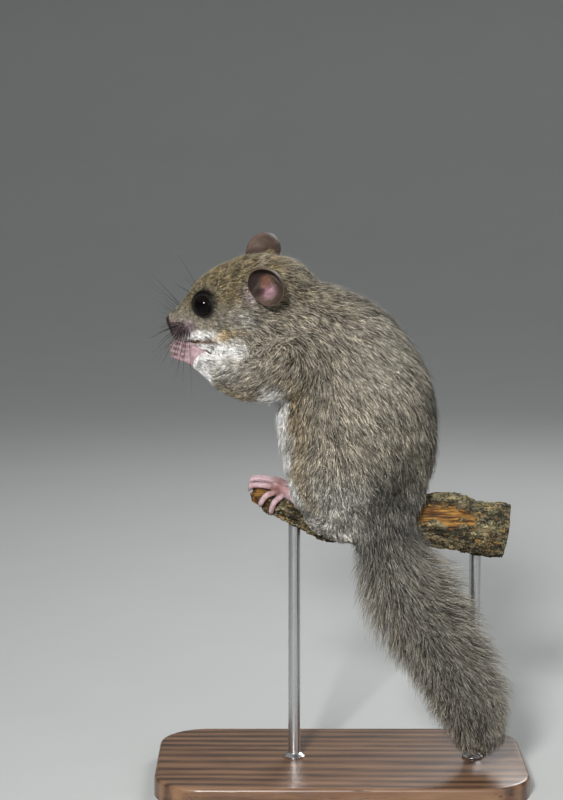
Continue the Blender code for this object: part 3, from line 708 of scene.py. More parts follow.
BODY_NODES = ("head", "neck", "torso", "arm_left", "arm_right", "leg_left", "leg_right")
BARE_NODES = ("hand_left", "hand_right", "foot_left", "foot_right", "ear_left", "ear_right")
GROWTH = 0.28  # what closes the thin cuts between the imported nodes
PALM = (
    (-49.0, -9.0, 168.4, 2.6, 2.9),
    (-54.2, -6.5, 171.0, 2.5, 3.3),
    (-57.2, -5.4, 172.9, 2.2, 4.1),
    (-60.2, -4.2, 174.6, 1.7, 4.1),
)
FINGER = (
    (0.6, 0, -0.2, 1.05),
    (-1.4, 0.2, 0.9, 1.25),
    (-3.4, 0.1, 1.0, 0.88),
    (-4.6, 0.7, 1.6, 1.05),
    (-6.2, 1.5, 1.9, 0.82),
    (-7.3, 2.3, 2.2, 0.85),
    (-8.1, 2.9, 2.2, 0.55),
)
FINGER_ROW = Vector((0.25, 0.22, 0.94))
FINGER_PITCH = 2.05
THUMB = ((-57.0, -3.6, 175.2, 1.2), (-59.0, -2.5, 176.8, 0.95), (-60.0, -1.8, 177.4, 0.8))
FOOT = (
    (-5, 62, 3.4, 3.0, 3.0),
    (-10.5, 58, 2.2, 2.7, 2.3),
    (-16.5, 52, 2.0, 2.8, 2.2),
    (-22, 44, 1.8, 3.3, 2.1),
    (-27, 38, 1.5, 3.8, 1.8),
)
TOES = (
    ((-20, 26, 1.6, 1.2), (-24, 16, 1.5, 1.15), (-27.5, 14, 1.2, 1.0), (-29.6, 14, 0.9, 0.7)),
    ((-26, 24, 1.4, 1.3), (-31, 18, 1.4, 1.2), (-35.6, 19, 0.4, 1.1), (-37.0, 21, -2.8, 0.75)),
    ((-26, 40, 1.4, 1.3), (-31, 46, 1.4, 1.2), (-35.8, 52, 0.1, 1.1), (-36.8, 56, -2.6, 0.75)),
    ((-26, 52, 1.4, 1.3), (-30, 78, 1.4, 1.2), (-32.2, 112, 1.2, 1.1), (-32.8, 136, 0.9, 0.75)),
    ((-24, 58, 1.4, 1.3), (-27, 90, 1.4, 1.2), (-28.2, 126, 1.2, 1.1), (-28.4, 148, 0.9, 0.75)),
)
TAIL = (
    (17.5, -14.5, 103, 9, 16),
    (21.2, -18.5, 90, 10, 19.2),
    (27, -19, 77, 10.5, 20.4),
    (34, -18, 66, 10.5, 20.2),
    (41, -17, 54.5, 10.5, 19),
    (48, -16, 42, 10, 18),
    (52.5, -15.5, 31.5, 9, 16.5),
    (55, -15, 23, 7.5, 12),
)
TAIL_CORE = 0.34
FILLERS = (  # under the longest hair: chin to forearms, tail to back, cheeks to shoulders
    ((-43, -2, 173.5), (10, 12, 6.5)),
    ((20, -5, 115), (9.5, 13, 12)),
    ((-29, -10.2, 177), (9, 6.2, 7)),
    ((-29, 8.2, 177), (9, 6.2, 7)),
)
RUMP = (  # fills the fold between the haunch, the back and the root of the tail
    (20.5, -7, 134, 15, 15.5),
    (18.8, -10, 122, 14.4, 15.4),
    (16.4, -13, 112, 12, 12.8),
    (16.0, -14.5, 103, 9.5, 12.4),
    (20.0, -17.6, 93, 7.6, 11.0),
    (24.5, -19, 83, 5.6, 9.0),
    (28.5, -19, 75, 4.0, 6.5),
)
PAD_PLACE, PAD_RADII = (23.3, 2.2, -4.0), (3.7, 3.0, 4.2)  # the blunt front of the whisker pads
TIP_PLACE, TIP_RADII = (22.9, 0, 1.3), (3.9, 2.5, 3.4)
SLEEVE = ((-47, -9.6, 167.6, 5.2, 5.6), (-52.0, -8.0, 169.8, 4.4, 5.0), (-56.0, -6.2, 172.2, 3.4, 4.6))


def aimed_frame():
    """The head's own frame: its columns are the ways forward, to its left and up."""
    forward = Vector((-math.cos(HEAD_PITCH), 0, -math.sin(HEAD_PITCH)))
    crown = Vector((-math.sin(HEAD_PITCH), 0, math.cos(HEAD_PITCH)))
    side = Vector((0, -1, 0))
    up = crown * math.cos(HEAD_ROLL) + side * math.sin(HEAD_ROLL)
    left = side * math.cos(HEAD_ROLL) - crown * math.sin(HEAD_ROLL)
    return Matrix.Rotation(-HEAD_YAW, 3, "Z") @ Matrix((forward, left, up)).transposed()


HEAD_TURN = aimed_frame()
HEAD_ROWS = np.array(HEAD_TURN)


def on_head(place, side=1):
    """A point of the head's own frame, on its left (1) or its right (-1)."""
    forward, left, up = place
    return HEAD_CENTRE + HEAD_TURN @ Vector((forward, left * side, up))


def head_way(direction, side=1):
    """A direction of the head's own frame, on its left (1) or its right (-1)."""
    forward, left, up = direction
    return (HEAD_TURN @ Vector((forward, left * side, up))).normalized()


def in_head(points):
    """Forward, left and up in the head's frame, for rows of points."""
    return (points - np.array(HEAD_CENTRE)) @ HEAD_ROWS


def mirrored(stations, side, plane):
    """Stations of a left limb, or the same on the right of a leaning plane."""
    if side == 1:
        return stations
    return tuple((x, 2 * plane(x, z) - y, z, *rest) for x, y, z, *rest in stations)


def chest_plane(x, z):
    """The y of the upright plane through the middle of the chest, which mirrors the arms."""
    return -1 - 0.062 * (x + 15)


def off_branch(x, degrees, height):
    """A point above the bark, by its angle from the top of the branch towards the left."""
    rows = np.array(BRANCH, float)
    middle_z, radius = (float(np.interp(x, rows[:, 0], rows[:, k])) for k in (2, 3))
    reach = radius + height
    angle = math.radians(degrees)
    return x, -reach * math.sin(angle), middle_z + reach * math.cos(angle)


def frames_along(rows, lateral):
    """Unit directions along, across and up at each row, carried on without a twist."""
    along = np.gradient(rows[:, :3], axis=0)
    along /= np.linalg.norm(along, axis=1)[:, None]
    across = np.array(lateral, float)
    sideways = []
    for way in along:
        across = across - way * (across @ way)
        across /= np.linalg.norm(across)
        sideways.append(across)
    sideways = np.array(sideways)
    return along, sideways, np.cross(along, sideways)


def tube(name, stations, sides=28, steps=4, lateral=(0, 1, 0)):
    """A closed, round-ended tube of oval sections: x, y, z, half width and half height."""
    table = [(*row, row[3]) if len(row) == 4 else row for row in stations]
    rows = curve_through(table, steps)
    along, across, upward = frames_along(rows, lateral)
    round_end = np.radians((86, 68, 50, 32, 15))
    pieces = []
    for end, way, turns in ((0, -1, round_end), (-1, 1, round_end[::-1])):
        reach = 0.85 * min(rows[end, 3], rows[end, 4])
        centre = rows[end, :3] + along[end] * way * reach * np.sin(turns)[:, None]
        slim = np.cos(turns)[:, None]
        pieces.append((centre, across[end] * rows[end, 3] * slim, upward[end] * rows[end, 4] * slim))
    body = (rows[:, :3], across * rows[:, 3:4], upward * rows[:, 4:5])
    centre, wide, high = (np.concatenate(parts) for parts in zip(pieces[0], body, pieces[1]))
    angle = np.arange(sides) * 2 * np.pi / sides
    rings = centre[:, None] + wide[:, None] * np.cos(angle)[:, None] + high[:, None] * np.sin(angle)[:, None]
    return shell_mesh(name, rings)


def evaluated(mesh, chosen=(), **modifiers):
    """The mesh after a row of modifiers, each given as its settings under its type."""
    scratch = bpy.data.objects.new("scratch", mesh)
    bpy.context.scene.collection.objects.link(scratch)
    if chosen:
        scratch.vertex_groups.new(name="chosen").add(chosen, 1.0, "REPLACE")
    for kind, settings in modifiers.items():
        modifier = scratch.modifiers.new(kind, kind)
        for key, value in settings.items():
            setattr(modifier, key, value)
    return modified(scratch)


def joined(name, meshes):
    """Several meshes as one, each left as it is."""
    bm = bmesh.new()
    for mesh in meshes:
        bm.from_mesh(mesh)
    return mesh_of(bm, name)


def melted(meshes, voxel, smoothing):
    """Closed meshes run together into one and smoothed."""
    return evaluated(
        joined("melted", meshes),
        REMESH={"mode": "VOXEL", "voxel_size": voxel * MM, "use_smooth_shade": True},
        SMOOTH={"factor": 0.5, "iterations": smoothing},
    )


def values_of(rows, key, columns=1, kind=np.float32):
    """What every row of a mesh's data has under a key, as an array."""
    values = np.empty(len(rows) * columns, kind)
    rows.foreach_get(key, values)
    return values.reshape(-1, columns) if columns > 1 else values


def coordinates(mesh):
    """A mesh's points, in millimetres."""
    return values_of(mesh.vertices, "co", 3).astype(float) / MM


def normals_of(mesh):
    """The way out of the surface at each of a mesh's points."""
    return values_of(mesh.vertex_normals, "vector", 3).astype(float)


def move_to(mesh, points):
    """Puts a mesh's points at the given places, in millimetres."""
    mesh.vertices.foreach_set("co", (points * MM).astype(np.float32).ravel())
    mesh.update()


def packed_copy(name, growth):
    """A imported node's mesh with its triangles joined up, grown outwards a little."""
    bm = bmesh.new()
    bm.from_mesh(bpy.data.objects[name].data)
    bmesh.ops.remove_doubles(bm, verts=bm.verts, dist=MM / 100)
    bmesh.ops.recalc_face_normals(bm, faces=bm.faces)
    bm.normal_update()
    for vertex in bm.verts:
        vertex.co += vertex.normal * growth * MM
    return mesh_of(bm, name)


def ball(centre, radius, sides=32, turn=None, radii=(1, 1, 1)):
    """A ball, or an egg shape with its radii along the axes of a turn."""
    bm = bmesh.new()
    place = Matrix.Translation(Vector(centre) * MM) @ (turn or Matrix.Identity(3)).to_4x4()
    place = place @ Matrix.Diagonal((*radii, 1))
    bmesh.ops.create_uvsphere(bm, u_segments=sides, v_segments=sides // 2, radius=radius * MM, matrix=place)
    return mesh_of(bm, "ball")


flesh = [packed_copy(name, GROWTH) for name in BODY_NODES]
flesh += [ball(on_head(EYE_PLACE, side), EYE_RADIUS + 0.4) for side in (1, -1)]
flesh += [ball(centre, 1, turn=HEAD_TURN, radii=radii) for centre, radii in FILLERS]
flesh.append(ball(on_head(TIP_PLACE), 1, turn=HEAD_TURN, radii=TIP_RADII))
for side in (1, -1):
    flesh.append(ball(on_head(PAD_PLACE, side), 1, turn=HEAD_TURN, radii=PAD_RADII))
    flesh.append(tube("sleeve", mirrored(SLEEVE, side, chest_plane)))
core_rows = [(x, y, z, half * TAIL_CORE, wide * TAIL_CORE * 0.7) for x, y, z, half, wide in TAIL]
core_rows = [(13, -12, 112, 7, 8)] + core_rows
flesh.append(tube("core", core_rows, sides=28, steps=5))
flesh.append(tube("rump", RUMP, sides=40))
for side in (1, -1):
    root, cup = on_head((-11.5, 9.0, 6.5), side), on_head(EAR_PLACE, side)
    stalk = [root, cup - head_way(EAR_AIM, side) * 4.2]
    flesh.append(tube("ear_root", [(*place, wide, wide) for place, wide in zip(stalk, (4.6, 3.4))]))
hide = melted(flesh, SKIN_VOXEL, SKIN_SMOOTHING)
hide_head = in_head(coordinates(hide))
face = (hide_head[:, 0] > 5) & (hide_head[:, 2] > -22)
hide = evaluated(
    hide,
    np.flatnonzero(~face).tolist(),
    DECIMATE={"ratio": SKIN_KEPT, "vertex_group": "chosen", "vertex_group_factor": 10.0},
)


# The lie of the coat: where (forward or x, sideways from the middle, up or z), which way the
# hair runs, its length, how deep the coat is there. First on the head, in its own frame.
HEAD_LIE = (
    ((26, 0, 1), (-0.9, 0, 0.4), 0.7, 0.22),
    ((24, 2, -2), (-0.9, 0.3, -0.2), 0.8, 0.25),
    ((20, 0, 6), (-0.95, 0, 0.3), 1.2, 0.5),
    ((19, 5.5, -1), (-0.95, 0.3, -0.1), 1.1, 0.4),
    ((19, 5, -7), (-0.8, 0.2, -0.55), 1.4, 0.5),
    ((14, 2, -14), (-0.8, 0.1, -0.4), 2.4, 0.9),
    ((10, 5, 12), (-0.9, 0.2, 0.3), 2.0, 0.9),
    ((15, 7, 5), (-0.9, 0.3, 0.1), 1.3, 0.5),
    ((11, 10.5, 1), (-0.9, 0.35, -0.3), 1.5, 0.55),
    ((9, 10, -4), (-0.85, 0.3, -0.4), 2.2, 0.8),
    ((5, 13, 6), (-0.95, 0.15, -0.05), 1.8, 0.7),
    ((2, 13, 5), (-0.95, 0.15, -0.05), 2.2, 0.9),
    ((4, 13, -6), (-0.8, 0.2, -0.55), 3.6, 1.6),
    ((2, 9, -14), (-0.75, 0.1, -0.6), 5.0, 2.0),
    ((2, 4, 16), (-0.95, 0.1, 0.1), 2.3, 1.2),
    ((-8, 4, 18), (-0.98, 0.1, 0), 3.0, 1.6),
    ((-16, 0, 17.5), (-0.95, 0, -0.3), 4.0, 1.9),
    ((-12, 15, 4), (-0.9, 0.1, -0.4), 3.6, 1.4),
    ((-14, 15, -4), (-0.8, 0.1, -0.6), 5.5, 2.2),
    ((-8, 13, -12), (-0.7, 0.1, -0.7), 6.0, 2.4),
    ((-2, 0, -20), (-0.9, 0, -0.4), 6.0, 2.4),
)
# Then on the body and limbs.
BODY_LIE = (
    ((-22, 0, 208), (0.95, 0, 0), 6.5, 2.5),
    ((-22, 15, 190), (0.8, 0.1, -0.6), 6.5, 2.6),
    ((-12, 20, 180), (0.55, 0.1, -0.83), 7.0, 2.7),
    ((0, 6, 203), (0.9, 0, -0.35), 7.5, 2.9),
    ((22, 6, 188), (0.72, 0, -0.7), 8.0, 3.1),
    ((36, 6, 165), (0.35, 0, -0.94), 8.5, 3.2),
    ((39, 6, 140), (0, 0, -1), 9.0, 3.2),
    ((34, 6, 118), (-0.2, 0, -0.98), 9.0, 3.2),
    ((28, 12, 103), (0.2, 0, -1), 11.0, 3.0),
    ((18, 22, 104), (0.2, 0, -1), 10.0, 3.0),
    ((26, 16, 86), (0.42, 0, -0.9), 12.5, 3.0),
    ((5, 25, 180), (0.7, 0.1, -0.7), 8.0, 3.0),
    ((5, 28, 155), (0.55, 0, -0.83), 8.5, 3.1),
    ((25, 20, 150), (0.3, 0, -0.95), 8.5, 3.1),
    ((5, 24, 130), (0.35, 0, -0.93), 8.0, 3.0),
    ((25, 20, 122), (0.25, 0, -0.97), 8.5, 3.1),
    ((2, 22, 112), (0.45, 0, -0.9), 7.0, 2.7),
    ((-12, 18, 126), (-0.35, 0.1, -0.93), 5.5, 2.1),
    ((-12, 12, 116), (-0.75, 0, -0.6), 3.6, 1.2),
    ((-22, 0, 150), (0.1, 0, -1), 7.0, 2.7),
    ((-22, 6, 130), (0.2, 0, -0.98), 6.5, 2.5),
    ((-30, 0, 158), (0.3, 0, -0.95), 7.0, 2.6),
    ((-22, 24, 172), (-0.65, 0, -0.75), 5.5, 2.2),
    ((-32, 20, 160), (-0.75, 0, -0.5), 5.0, 2.0),
    ((-42, 15, 163), (-0.8, 0.1, -0.4), 4.2, 1.6),
    ((-52, 8, 169), (-0.85, 0.2, 0.2), 3.4, 1.0),
)
BARE_EDGE = 1.6  # how far from the bare hands, feet and ears the coat reaches its depth


def guide_rows():
    """Both tables for both sides, as places, ways, lengths and depths in the shared frame."""
    rows = []
    for side in (1, -1):
        for place, way, length, depth in HEAD_LIE:
            rows.append((*on_head(place, side), *head_way(way, side), length, depth))
        for (x, lateral, z), (along, outward, rise), length, depth in BODY_LIE:
            way = Vector((along, -side * outward, rise)).normalized()
            rows.append((x, -1.5 - side * lateral, z, *way, length, depth))
    return np.array(rows)


GUIDES = guide_rows()


def lie_at(points):
    """Direction, length and depth of the coat at each point, from the nearest guides."""
    found = []
    for some in np.array_split(points, max(1, len(points) // 20000)):
        apart = ((some[:, None] - GUIDES[None, :, :3]) ** 2).sum(axis=2) + 4.0
        weight = apart**-2.5
        weight /= weight.sum(axis=1)[:, None]
        found.append(weight @ GUIDES[:, 3:])
    found = np.concatenate(found)
    return found[:, :3], found[:, 3], found[:, 4]


def surface_through(points, mesh):
    """The faces of a mesh with its points at the given places, for rays to meet."""
    faces = [tuple(polygon.vertices) for polygon in mesh.polygons]
    return BVHTree.FromPolygons([Vector(point) for point in points], faces)


def surface_of(names):
    """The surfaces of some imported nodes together, for finding the nearest place on them."""
    bm = bmesh.new()
    for name in names:
        bm.from_mesh(bpy.data.objects[name].data)
    tree = BVHTree.FromBMesh(bm)
    bm.free()
    return tree


def distance_to(tree, points):
    """How far each point is from a surface, in millimetres."""
    return np.array([tree.find_nearest(Vector(point) * MM)[3] for point in points]) / MM


def eye_parts(points, side):
    """Height above the eye's centre along its aim, distance from that line and from the centre."""
    away = points - np.array(on_head(EYE_PLACE, side))
    aim = np.array(head_way(EYE_AIM, side))
    along = away @ aim
    radial = np.linalg.norm(away - along[:, None] * aim, axis=1)
    return along, radial, np.linalg.norm(away, axis=1)


bare_tree = surface_of(BARE_NODES)
points = coordinates(hide)
normals = normals_of(hide)
coat_depth = lie_at(points)[2]
near_bare = distance_to(bare_tree, points)
coat_depth *= 0.12 + 0.88 * step_between(near_bare, 0, BARE_EDGE)
on_core = step_between(-points[:, 2], *CORE_HEIGHTS) * (points[:, 0] > 5)
coat_depth *= 1 - 0.95 * on_core
points = points - normals * (GROWTH + coat_depth)[:, None]

LID_EDGE = 4.2  # radius of the opening between the lids
LID_STAND = 0.45  # how far the lids' rim stands over the eyeball
for side in (1, -1):
    centre = np.array(on_head(EYE_PLACE, side))
    along, radial, reach = eye_parts(points, side)
    hidden = EYE_RADIUS - 0.7
    rim = EYE_RADIUS + LID_STAND - 0.9 * step_between(radial, LID_EDGE + 0.5, LID_EDGE + 2.0)
    wanted = hidden + (rim - hidden) * step_between(radial, LID_EDGE - 0.35, LID_EDGE + 0.25)
    share = (1 - step_between(radial, LID_EDGE + 0.5, LID_EDGE + 2.2)) * step_between(along, -1.0, 0.6)
    new_reach = reach + (np.where(radial < LID_EDGE + 0.5, wanted, reach) - reach) * share
    points = centre + (points - centre) * (new_reach / reach)[:, None]
under_haunch = step_between(-points[:, 0], -9, -4) * (points[:, 2] < SEAT_HEIGHT)
points[:, 2] += 0.5 * (SEAT_HEIGHT - points[:, 2]) * under_haunch
local = in_head(points)
beyond_front = np.maximum(local[:, 0] - NOSE_FRONT, 0)
points -= 0.55 * beyond_front[:, None] * HEAD_ROWS[:, 0]
move_to(hide, points)

surface = surface_through([vertex.co for vertex in hide.vertices], hide)
mouth_line = []
forward, left, up = MOUTH_MIDDLE
for share in np.linspace(-1, 1, MOUTH_POINTS):
    angle = math.radians(MOUTH_TURN * share)
    start = on_head((forward, left, up - MOUTH_DROP * share**2)) * MM
    way = HEAD_TURN @ Vector((math.cos(angle), math.sin(angle), -0.10))
    mouth_line.append(np.array(surface.ray_cast(start + way * 0.03, -way)[0]) / MM)
mouth_line = np.array(mouth_line)
mouth_taper = np.sin(np.linspace(0, np.pi, len(mouth_line))) ** 0.35


def near_mouth(points):
    """Each point's distance from the mouth's line, the mouth's depth and the place on the line."""
    gap = np.linalg.norm(points[:, None] - mouth_line[None], axis=2)
    nearest = gap.argmin(axis=1)
    return gap.min(axis=1), mouth_taper[nearest], nearest


muzzle = np.flatnonzero(in_head(points)[:, 0] > 8)
normals = normals_of(hide)
from_mouth, taper, nearest = near_mouth(points[muzzle])
above = in_head(points[muzzle])[:, 2] - in_head(mouth_line)[nearest, 2]
groove = -0.85 * streak(from_mouth, 0.42) * taper
lips = 0.35 * streak(from_mouth - 1.1, 0.55) * np.where(above < 0, 1.0, 0.5)
local = in_head(points[muzzle])
nostril = np.zeros(len(muzzle))
for side in (1, -1):
    opening = spot(local[:, 1] - side * 1.3, 0.55, local[:, 2] - 0.35, 0.6)
    nostril += opening * (local[:, 0] > 25.4)
philtrum = streak(local[:, 1], 0.28) * step_between(local[:, 0], 24.6, 25.4)
philtrum *= step_between(-local[:, 2], 0.2, 1.2) * step_between(local[:, 2], -5.5, -4.5)
push = groove + lips * taper - 0.9 * np.minimum(nostril, 1) - 0.4 * philtrum
points[muzzle] += normals[muzzle] * push[:, None]
move_to(hide, points)


# Ears, hands and feet: thin hollow ears with their folds, hands folded before the mouth and feet
# that hold the branch, all of bare skin. They are joined to the hide, so that it is one surface.
EAR_HALF = (8.2, 7.5)  # half width towards the front, half height
EAR_SIDES, EAR_ROWS = 76, 22
EAR_CANAL = (3.4, -3.4)  # where the ear leads into the head, towards the front and below
EAR_RIM_STEPS = ((0.38, 0.22), (0.25, 0.30), (0.12, 0.22))  # wall left inside, and lift
PAW_VOXEL = 0.22
FOOT_VOXEL = 0.23
PAW_KEPT = 0.3  # share of the triangles that a hand or a foot keeps


def ear_axes(side):
    """Unit ways to the front, the top and the open side of an ear."""
    open_way = np.array(head_way(EAR_AIM, side))
    top = np.array(head_way((-0.25, 0.0, 1.0), side))
    top -= open_way * (top @ open_way)
    top /= np.linalg.norm(top)
    front = np.cross(open_way, top) * side
    return front, top, open_way


def ear_point(round_turn, lean, wall):
    """Points of an ear's cup; the lean is 0 at its bottom and a right angle at its rim."""
    u, v = np.cos(round_turn), np.sin(round_turn)
    outline = 1 + 0.035 * np.cos(2 * round_turn - 2.0) - 0.05 * np.clip(u * 0.8 - v * 0.6, 0, 1) ** 3
    wide = (EAR_HALF[0] - wall) * np.sin(lean) * outline * u
    high = (EAR_HALF[1] - wall) * np.sin(lean) * outline * v
    low = 1 - 0.25 * np.clip(u * 0.7 - v * 0.7, 0, 1)
    deep = -(EAR_DEPTH - wall) * np.cos(lean) * low + 0.6 * np.sin(lean) ** 6
    return wide, high, deep


def ear_folds(wide, high):
    """How far the cup's inner face stands in: the long fold, the small one before the canal."""
    bow = np.hypot(wide + 0.2, high + 1.0)
    turn = np.arctan2(high + 1.0, wide + 0.2)
    long_fold = 0.75 * streak(bow - 3.9, 0.55) * streak(turn - 2.0, 1.0)
    cross_fold = 0.6 * streak(high - 0.6 + 0.25 * wide, 0.5)
    cross_fold *= streak(wide + 0.6, 2.4)
    flap = 0.9 * spot(wide - 5.2, 0.9, high + 3.4, 1.4)
    canal = -1.3 * spot(wide - EAR_CANAL[0], 1.1, high - EAR_CANAL[1], 1.3)
    waves = 0.14 * np.sin(3.2 * wide + 1.3 * high) * np.exp(-((bow - 3) ** 2) / 9)
    return long_fold + cross_fold + flap + canal + waves


def ear_mesh(side):
    """An ear as a thin cup: its hollow with the folds, its rim, then its back."""
    centre = np.array(on_head(EAR_PLACE, side))
    front, top, open_way = ear_axes(side)
    round_turn = np.arange(EAR_SIDES) * 2 * np.pi / EAR_SIDES
    rings = []
    leans = np.radians(np.linspace(6, 90, EAR_ROWS))
    for lean in leans:
        wall = 0.95 - 0.45 * (lean / leans[-1]) ** 2
        wide, high, deep = ear_point(round_turn, lean, wall)
        rings.append((wide, high, deep + ear_folds(wide, high) * math.cos(lean) ** 0.3))
    for wall, lift in EAR_RIM_STEPS:
        wide, high, deep = ear_point(round_turn, leans[-1], wall)
        rings.append((wide, high, deep + lift))
    rings += [ear_point(round_turn, lean, 0) for lean in leans[::-1]]
    grid = []
    for wide, high, deep in rings:
        crinkle = 0.16 * ripple(np.stack([wide, high], 1), 5.0, 21)
        height = deep + crinkle
        grid.append(centre + wide[:, None] * front + high[:, None] * top + height[:, None] * open_way)
    return shell_mesh("ear", np.array(grid))


def thinned(mesh, ratio):
    """The mesh with only a share of its triangles."""
    return evaluated(mesh, DECIMATE={"ratio": ratio})


def finger_of(side, number):
    """The stations of one of the four fingers, the highest first."""
    base = Vector(PALM[-1][:3]) + FINGER_ROW * FINGER_PITCH * (1.5 - number)
    stretch = 1.0 - 0.12 * abs(number - 1.4)
    stations = [(*(base + Vector(place) * stretch), radius) for *place, radius in FINGER]
    return mirrored(stations, side, chest_plane)


def hand_mesh(side):
    """A hand: the palm, four fingers in a row and the short thumb, run together."""
    forms = [tube("palm", mirrored(PALM, side, chest_plane), lateral=(0, 1, 0.2))]
    forms += [tube("finger", finger_of(side, number), sides=18) for number in range(4)]
    forms.append(tube("thumb", mirrored(THUMB, side, chest_plane), sides=18))
    return thinned(melted(forms, PAW_VOXEL, 5), PAW_KEPT)


def foot_mesh(side):
    """A foot: the sole and five toes that lie round the branch, run together."""
    sole = [(*off_branch(x, side * turn, height), *size) for x, turn, height, *size in FOOT]
    forms = [tube("sole", sole, lateral=(0, 0.8, -0.6 * side))]
    for toe in TOES:
        stations = [(*off_branch(x, side * turn, height), radius) for x, turn, height, radius in toe]
        tip = Vector(stations[-1][:3])
        before = Vector(stations[-2][:3])
        pad = tip.lerp(before, 0.45)
        stations.insert(-1, (*pad, stations[-1][3] + 0.3))
        forms.append(tube("toe", stations, sides=18, lateral=(0.2, 1, 0.3)))
    return thinned(melted(forms, FOOT_VOXEL, 6), PAW_KEPT)


def united(meshes, parts):
    """Closed meshes joined into one surface. A face keeps the number of the part it came from."""
    for mesh, part in zip(meshes, parts):
        mesh.materials.clear()
        for mark in PART_MARKS:
            mesh.materials.append(mark)
        mesh.polygons.foreach_set("material_index", [part] * len(mesh.polygons))
    joining = bpy.data.collections.new("joining")
    for mesh in meshes[1:]:
        joining.objects.link(bpy.data.objects.new("joined", mesh))
    bpy.context.scene.collection.children.link(joining)
    settings = {"operation": "UNION", "solver": "MANIFOLD", "operand_type": "COLLECTION"}
    made = evaluated(meshes[0], BOOLEAN={**settings, "collection": joining})
    for other in list(joining.objects):
        bpy.data.objects.remove(other)
    bpy.data.collections.remove(joining)
    return made


PART_MARKS = [bpy.data.materials.new(f"part_{number}") for number in range(3)]
pieces = [hide] + [make(side) for make in (ear_mesh, hand_mesh, foot_mesh) for side in (1, -1)]
hide = united(pieces, (0, 1, 1, 2, 2, 2, 2))


# Colours of the coat and skin: grey-brown back and crown, white throat, cheek and belly, a black
# ring round the eye, and bare pink skin on the hands, feet and in the ears. The coat's tufts and
# the skin below take them from the same functions, so that the two always agree.
def shade(red, green, blue):
    """A colour from its 0 to 255 values on a screen."""
    shown = (red, green, blue)
    return np.array([((c / 255 + 0.055) / 1.055) ** 2.4 if c > 10 else c / 3295 for c in shown])


AGOUTI = shade(158, 149, 131)
CROWN = shade(130, 116, 84)
ASH = shade(172, 169, 162)
WHITE = shade(252, 250, 246)
SMOKE = shade(96, 92, 85)
EYE_RING = shade(13, 11, 10)
SPINE = shade(92, 89, 80)
MAUVE = shade(120, 101, 114)
LIP_BROWN = shade(112, 78, 56)
WHISKER_PAD = shade(80, 60, 62)
BUFF = shade(184, 158, 112)
NOSE_SKIN = shade(34, 24, 24)
PINK = shade(162, 143, 149)
PALM_BROWN_AND_SHADE = shade(136, 102, 98)
INSTEP = shade(112, 62, 46)
PAINTED_CREASE_SHADE = shade(62, 38, 38)
BALD = shade(214, 194, 198)
LID_SKIN = shade(20, 17, 15)
MOUTH_SLIT_SHADE = shade(52, 34, 28)
EAR_INSIDE = shade(150, 116, 126)
EAR_FOLD = shade(112, 76, 58)
EAR_SHEET = shade(84, 69, 60)
EAR_RIM = shade(42, 32, 28)
EAR_PIT_SHADE = shade(46, 30, 26)


def mixed(colours, other, share):
    """The colours moved towards another one by a share for each point."""
    return colours + (other - colours) * np.clip(share, 0, 1)[:, None]


def ear_local(points, side):
    """Places in an ear's own frame: to its front, to its top and out of its hollow."""
    front, top, open_way = ear_axes(side)
    away = points - np.array(on_head(EAR_PLACE, side))
    return away @ front, away @ top, away @ open_way


